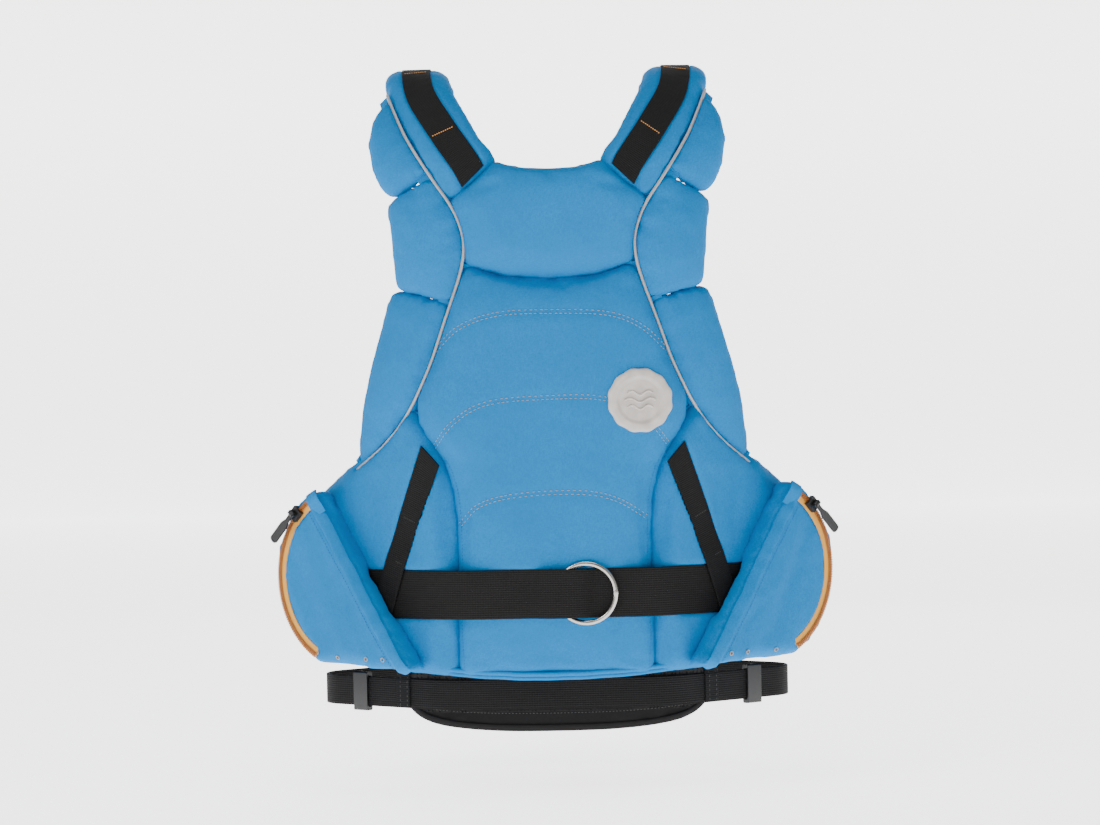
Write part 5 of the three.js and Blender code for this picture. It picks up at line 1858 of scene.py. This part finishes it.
# ---------------------------------------------------------------- the studio
@dataclass
class Studio:
    """Floor, light and camera."""

    distance: float = 2.62
    view_width: float = 0.945
    sensor: float = 36.0
    aim: Point2 = (-2, -290)
    roll: float = -1.1
    floor_z: float = -0.62
    floor_half: float = 9.0
    floor_bend: float = 1.5

    def build(self) -> None:
        """Makes the whole studio."""
        self.floor()
        self.lights()
        self.camera()

    def floor(self) -> None:
        """Lays a pale floor that curves up far behind the jacket."""
        half, bend, back, top = self.floor_half, self.floor_bend, self.floor_half - self.floor_bend, 5.0
        line = [(-half, self.floor_z), (back, self.floor_z)]
        for angle in np.linspace(0.1, math.pi / 2, 14):
            line.append((back + bend * math.sin(angle), self.floor_z + bend * (1 - math.cos(angle))))
        line.append((back + bend, top))
        bm = bmesh.new()
        near = [bm.verts.new((-half, y, z)) for y, z in line]
        far = [bm.verts.new((half, y, z)) for y, z in line]
        for a, b, c, d in zip(near, near[1:], far[1:], far):
            bm.faces.new((a, d, c, b))
        floor = from_bmesh("floor", bm, 180)
        nodes = Nodes("pale_floor")
        nodes.set(Base_Color=(0.9, 0.9, 0.9, 1.0), Roughness=0.9)
        nodes.set(Emission_Color=(1.0, 1.0, 1.0, 1.0), Emission_Strength=2.6)
        floor.data.materials.append(nodes.material)

    def lights(self) -> None:
        """Hangs large soft lights either side of the camera and overhead."""
        world = bpy.data.worlds.new("studio")
        world.use_nodes = True
        world.node_tree.nodes["Background"].inputs["Color"].default_value = (1, 1, 1, 1)
        world.node_tree.nodes["Background"].inputs["Strength"].default_value = 0.42
        bpy.context.scene.world = world
        for name, place, size, power in (
            ("key", (-1.5, -1.6, 1.2), 0.9, 20), ("fill", (1.6, -1.8, 0.4), 1.5, 2.5),
            ("top", (0.0, -0.3, 1.6), 1.2, 14), ("front", (0.3, 2.0, 0.6), 1.6, 6),
        ):
            light = bpy.data.lights.new(name, "AREA")
            light.energy = power
            light.size = size
            lamp = bpy.data.objects.new(name, light)
            lamp.location = place
            lamp.rotation_euler = (Vector((0, 0, -0.28)) - Vector(place)).to_track_quat("-Z", "Y").to_euler()
            bpy.context.scene.collection.objects.link(lamp)

    def camera(self) -> None:
        """Sets the camera behind the wearer, level, at chest height."""
        data = bpy.data.cameras.new("camera")
        data.sensor_width = self.sensor
        data.lens = self.distance * self.sensor / self.view_width
        camera = bpy.data.objects.new("camera", data)
        x, z = (c * MM for c in self.aim)
        camera.location = (x, -0.12 - self.distance, z)
        camera.rotation_euler = (
            Matrix.Rotation(math.radians(90), 4, "X") @ Matrix.Rotation(math.radians(self.roll), 4, "Z")
        ).to_euler()
        bpy.context.scene.collection.objects.link(camera)
        bpy.context.scene.camera = camera


def main() -> None:
    """Builds the jacket in order: cloth, straps over it, then threads and trim."""
    logging.basicConfig(level=logging.INFO, format="%(message)s")
    Studio().build()
    back, front, belts = BackBody(), FrontBody(), Belts()
    petals = [Petals(hand) for hand in HANDS]
    straps = [ShoulderStrap(hand) for hand in HANDS]
    wings = [SideWing(hand) for hand in HANDS]
    pockets = [SidePocket(hand) for hand in HANDS]
    for part in (back, front, *petals, *straps, *wings, *pockets):
        part.grow()
    for part in (belts, *straps, *wings):
        part.weave()
    for pocket in pockets:
        pocket.fit_zip()
    pipings = [NODES["piping_" + hand.word] for hand in HANDS]
    over_back = tree_of(belts.rescue, *(s.webbing for s in straps), *(w.strap for w in wings))
    for pad in (*back.pads.values(), *(s.pad for s in straps), *(w.pad for w in wings),
                *(leaf for p in petals for leaf in p.pads.values())):
        press_under(pad, tree_of(*pipings), 0.2 * MM, 7 * MM)
    for pad in (*back.pads.values(), *(s.pad for s in straps), *(w.pad for w in wings)):
        press_under(pad, over_back, 0.4 * MM, 12 * MM)
    for pocket in pockets:
        press_under(pocket.bag, tree_of(pocket.tape), 0.3 * MM, 7 * MM)
    over_chest = tree_of(
        belts.rescue, NODES["front_pocket_body"], NODES["lash_tab"], NODES["rescue_buckle_frame"],
    )
    press_under(front.pads["chest"], over_chest, 0.4 * MM, 15 * MM)
    press_under(front.pads["door"], tree_of(NODES["front_pocket_zip"]), 0.3 * MM, 3 * MM)
    press_under(belts.pad, tree_of(belts.waist), 0.3 * MM, 3 * MM)
    for part in (back, front, belts, *petals, *straps, *wings, *pockets):
        part.dress()
    Hem().build([*back.pads.values(), *(w.pad for w in wings)])


if __name__ == "__main__":
    main()
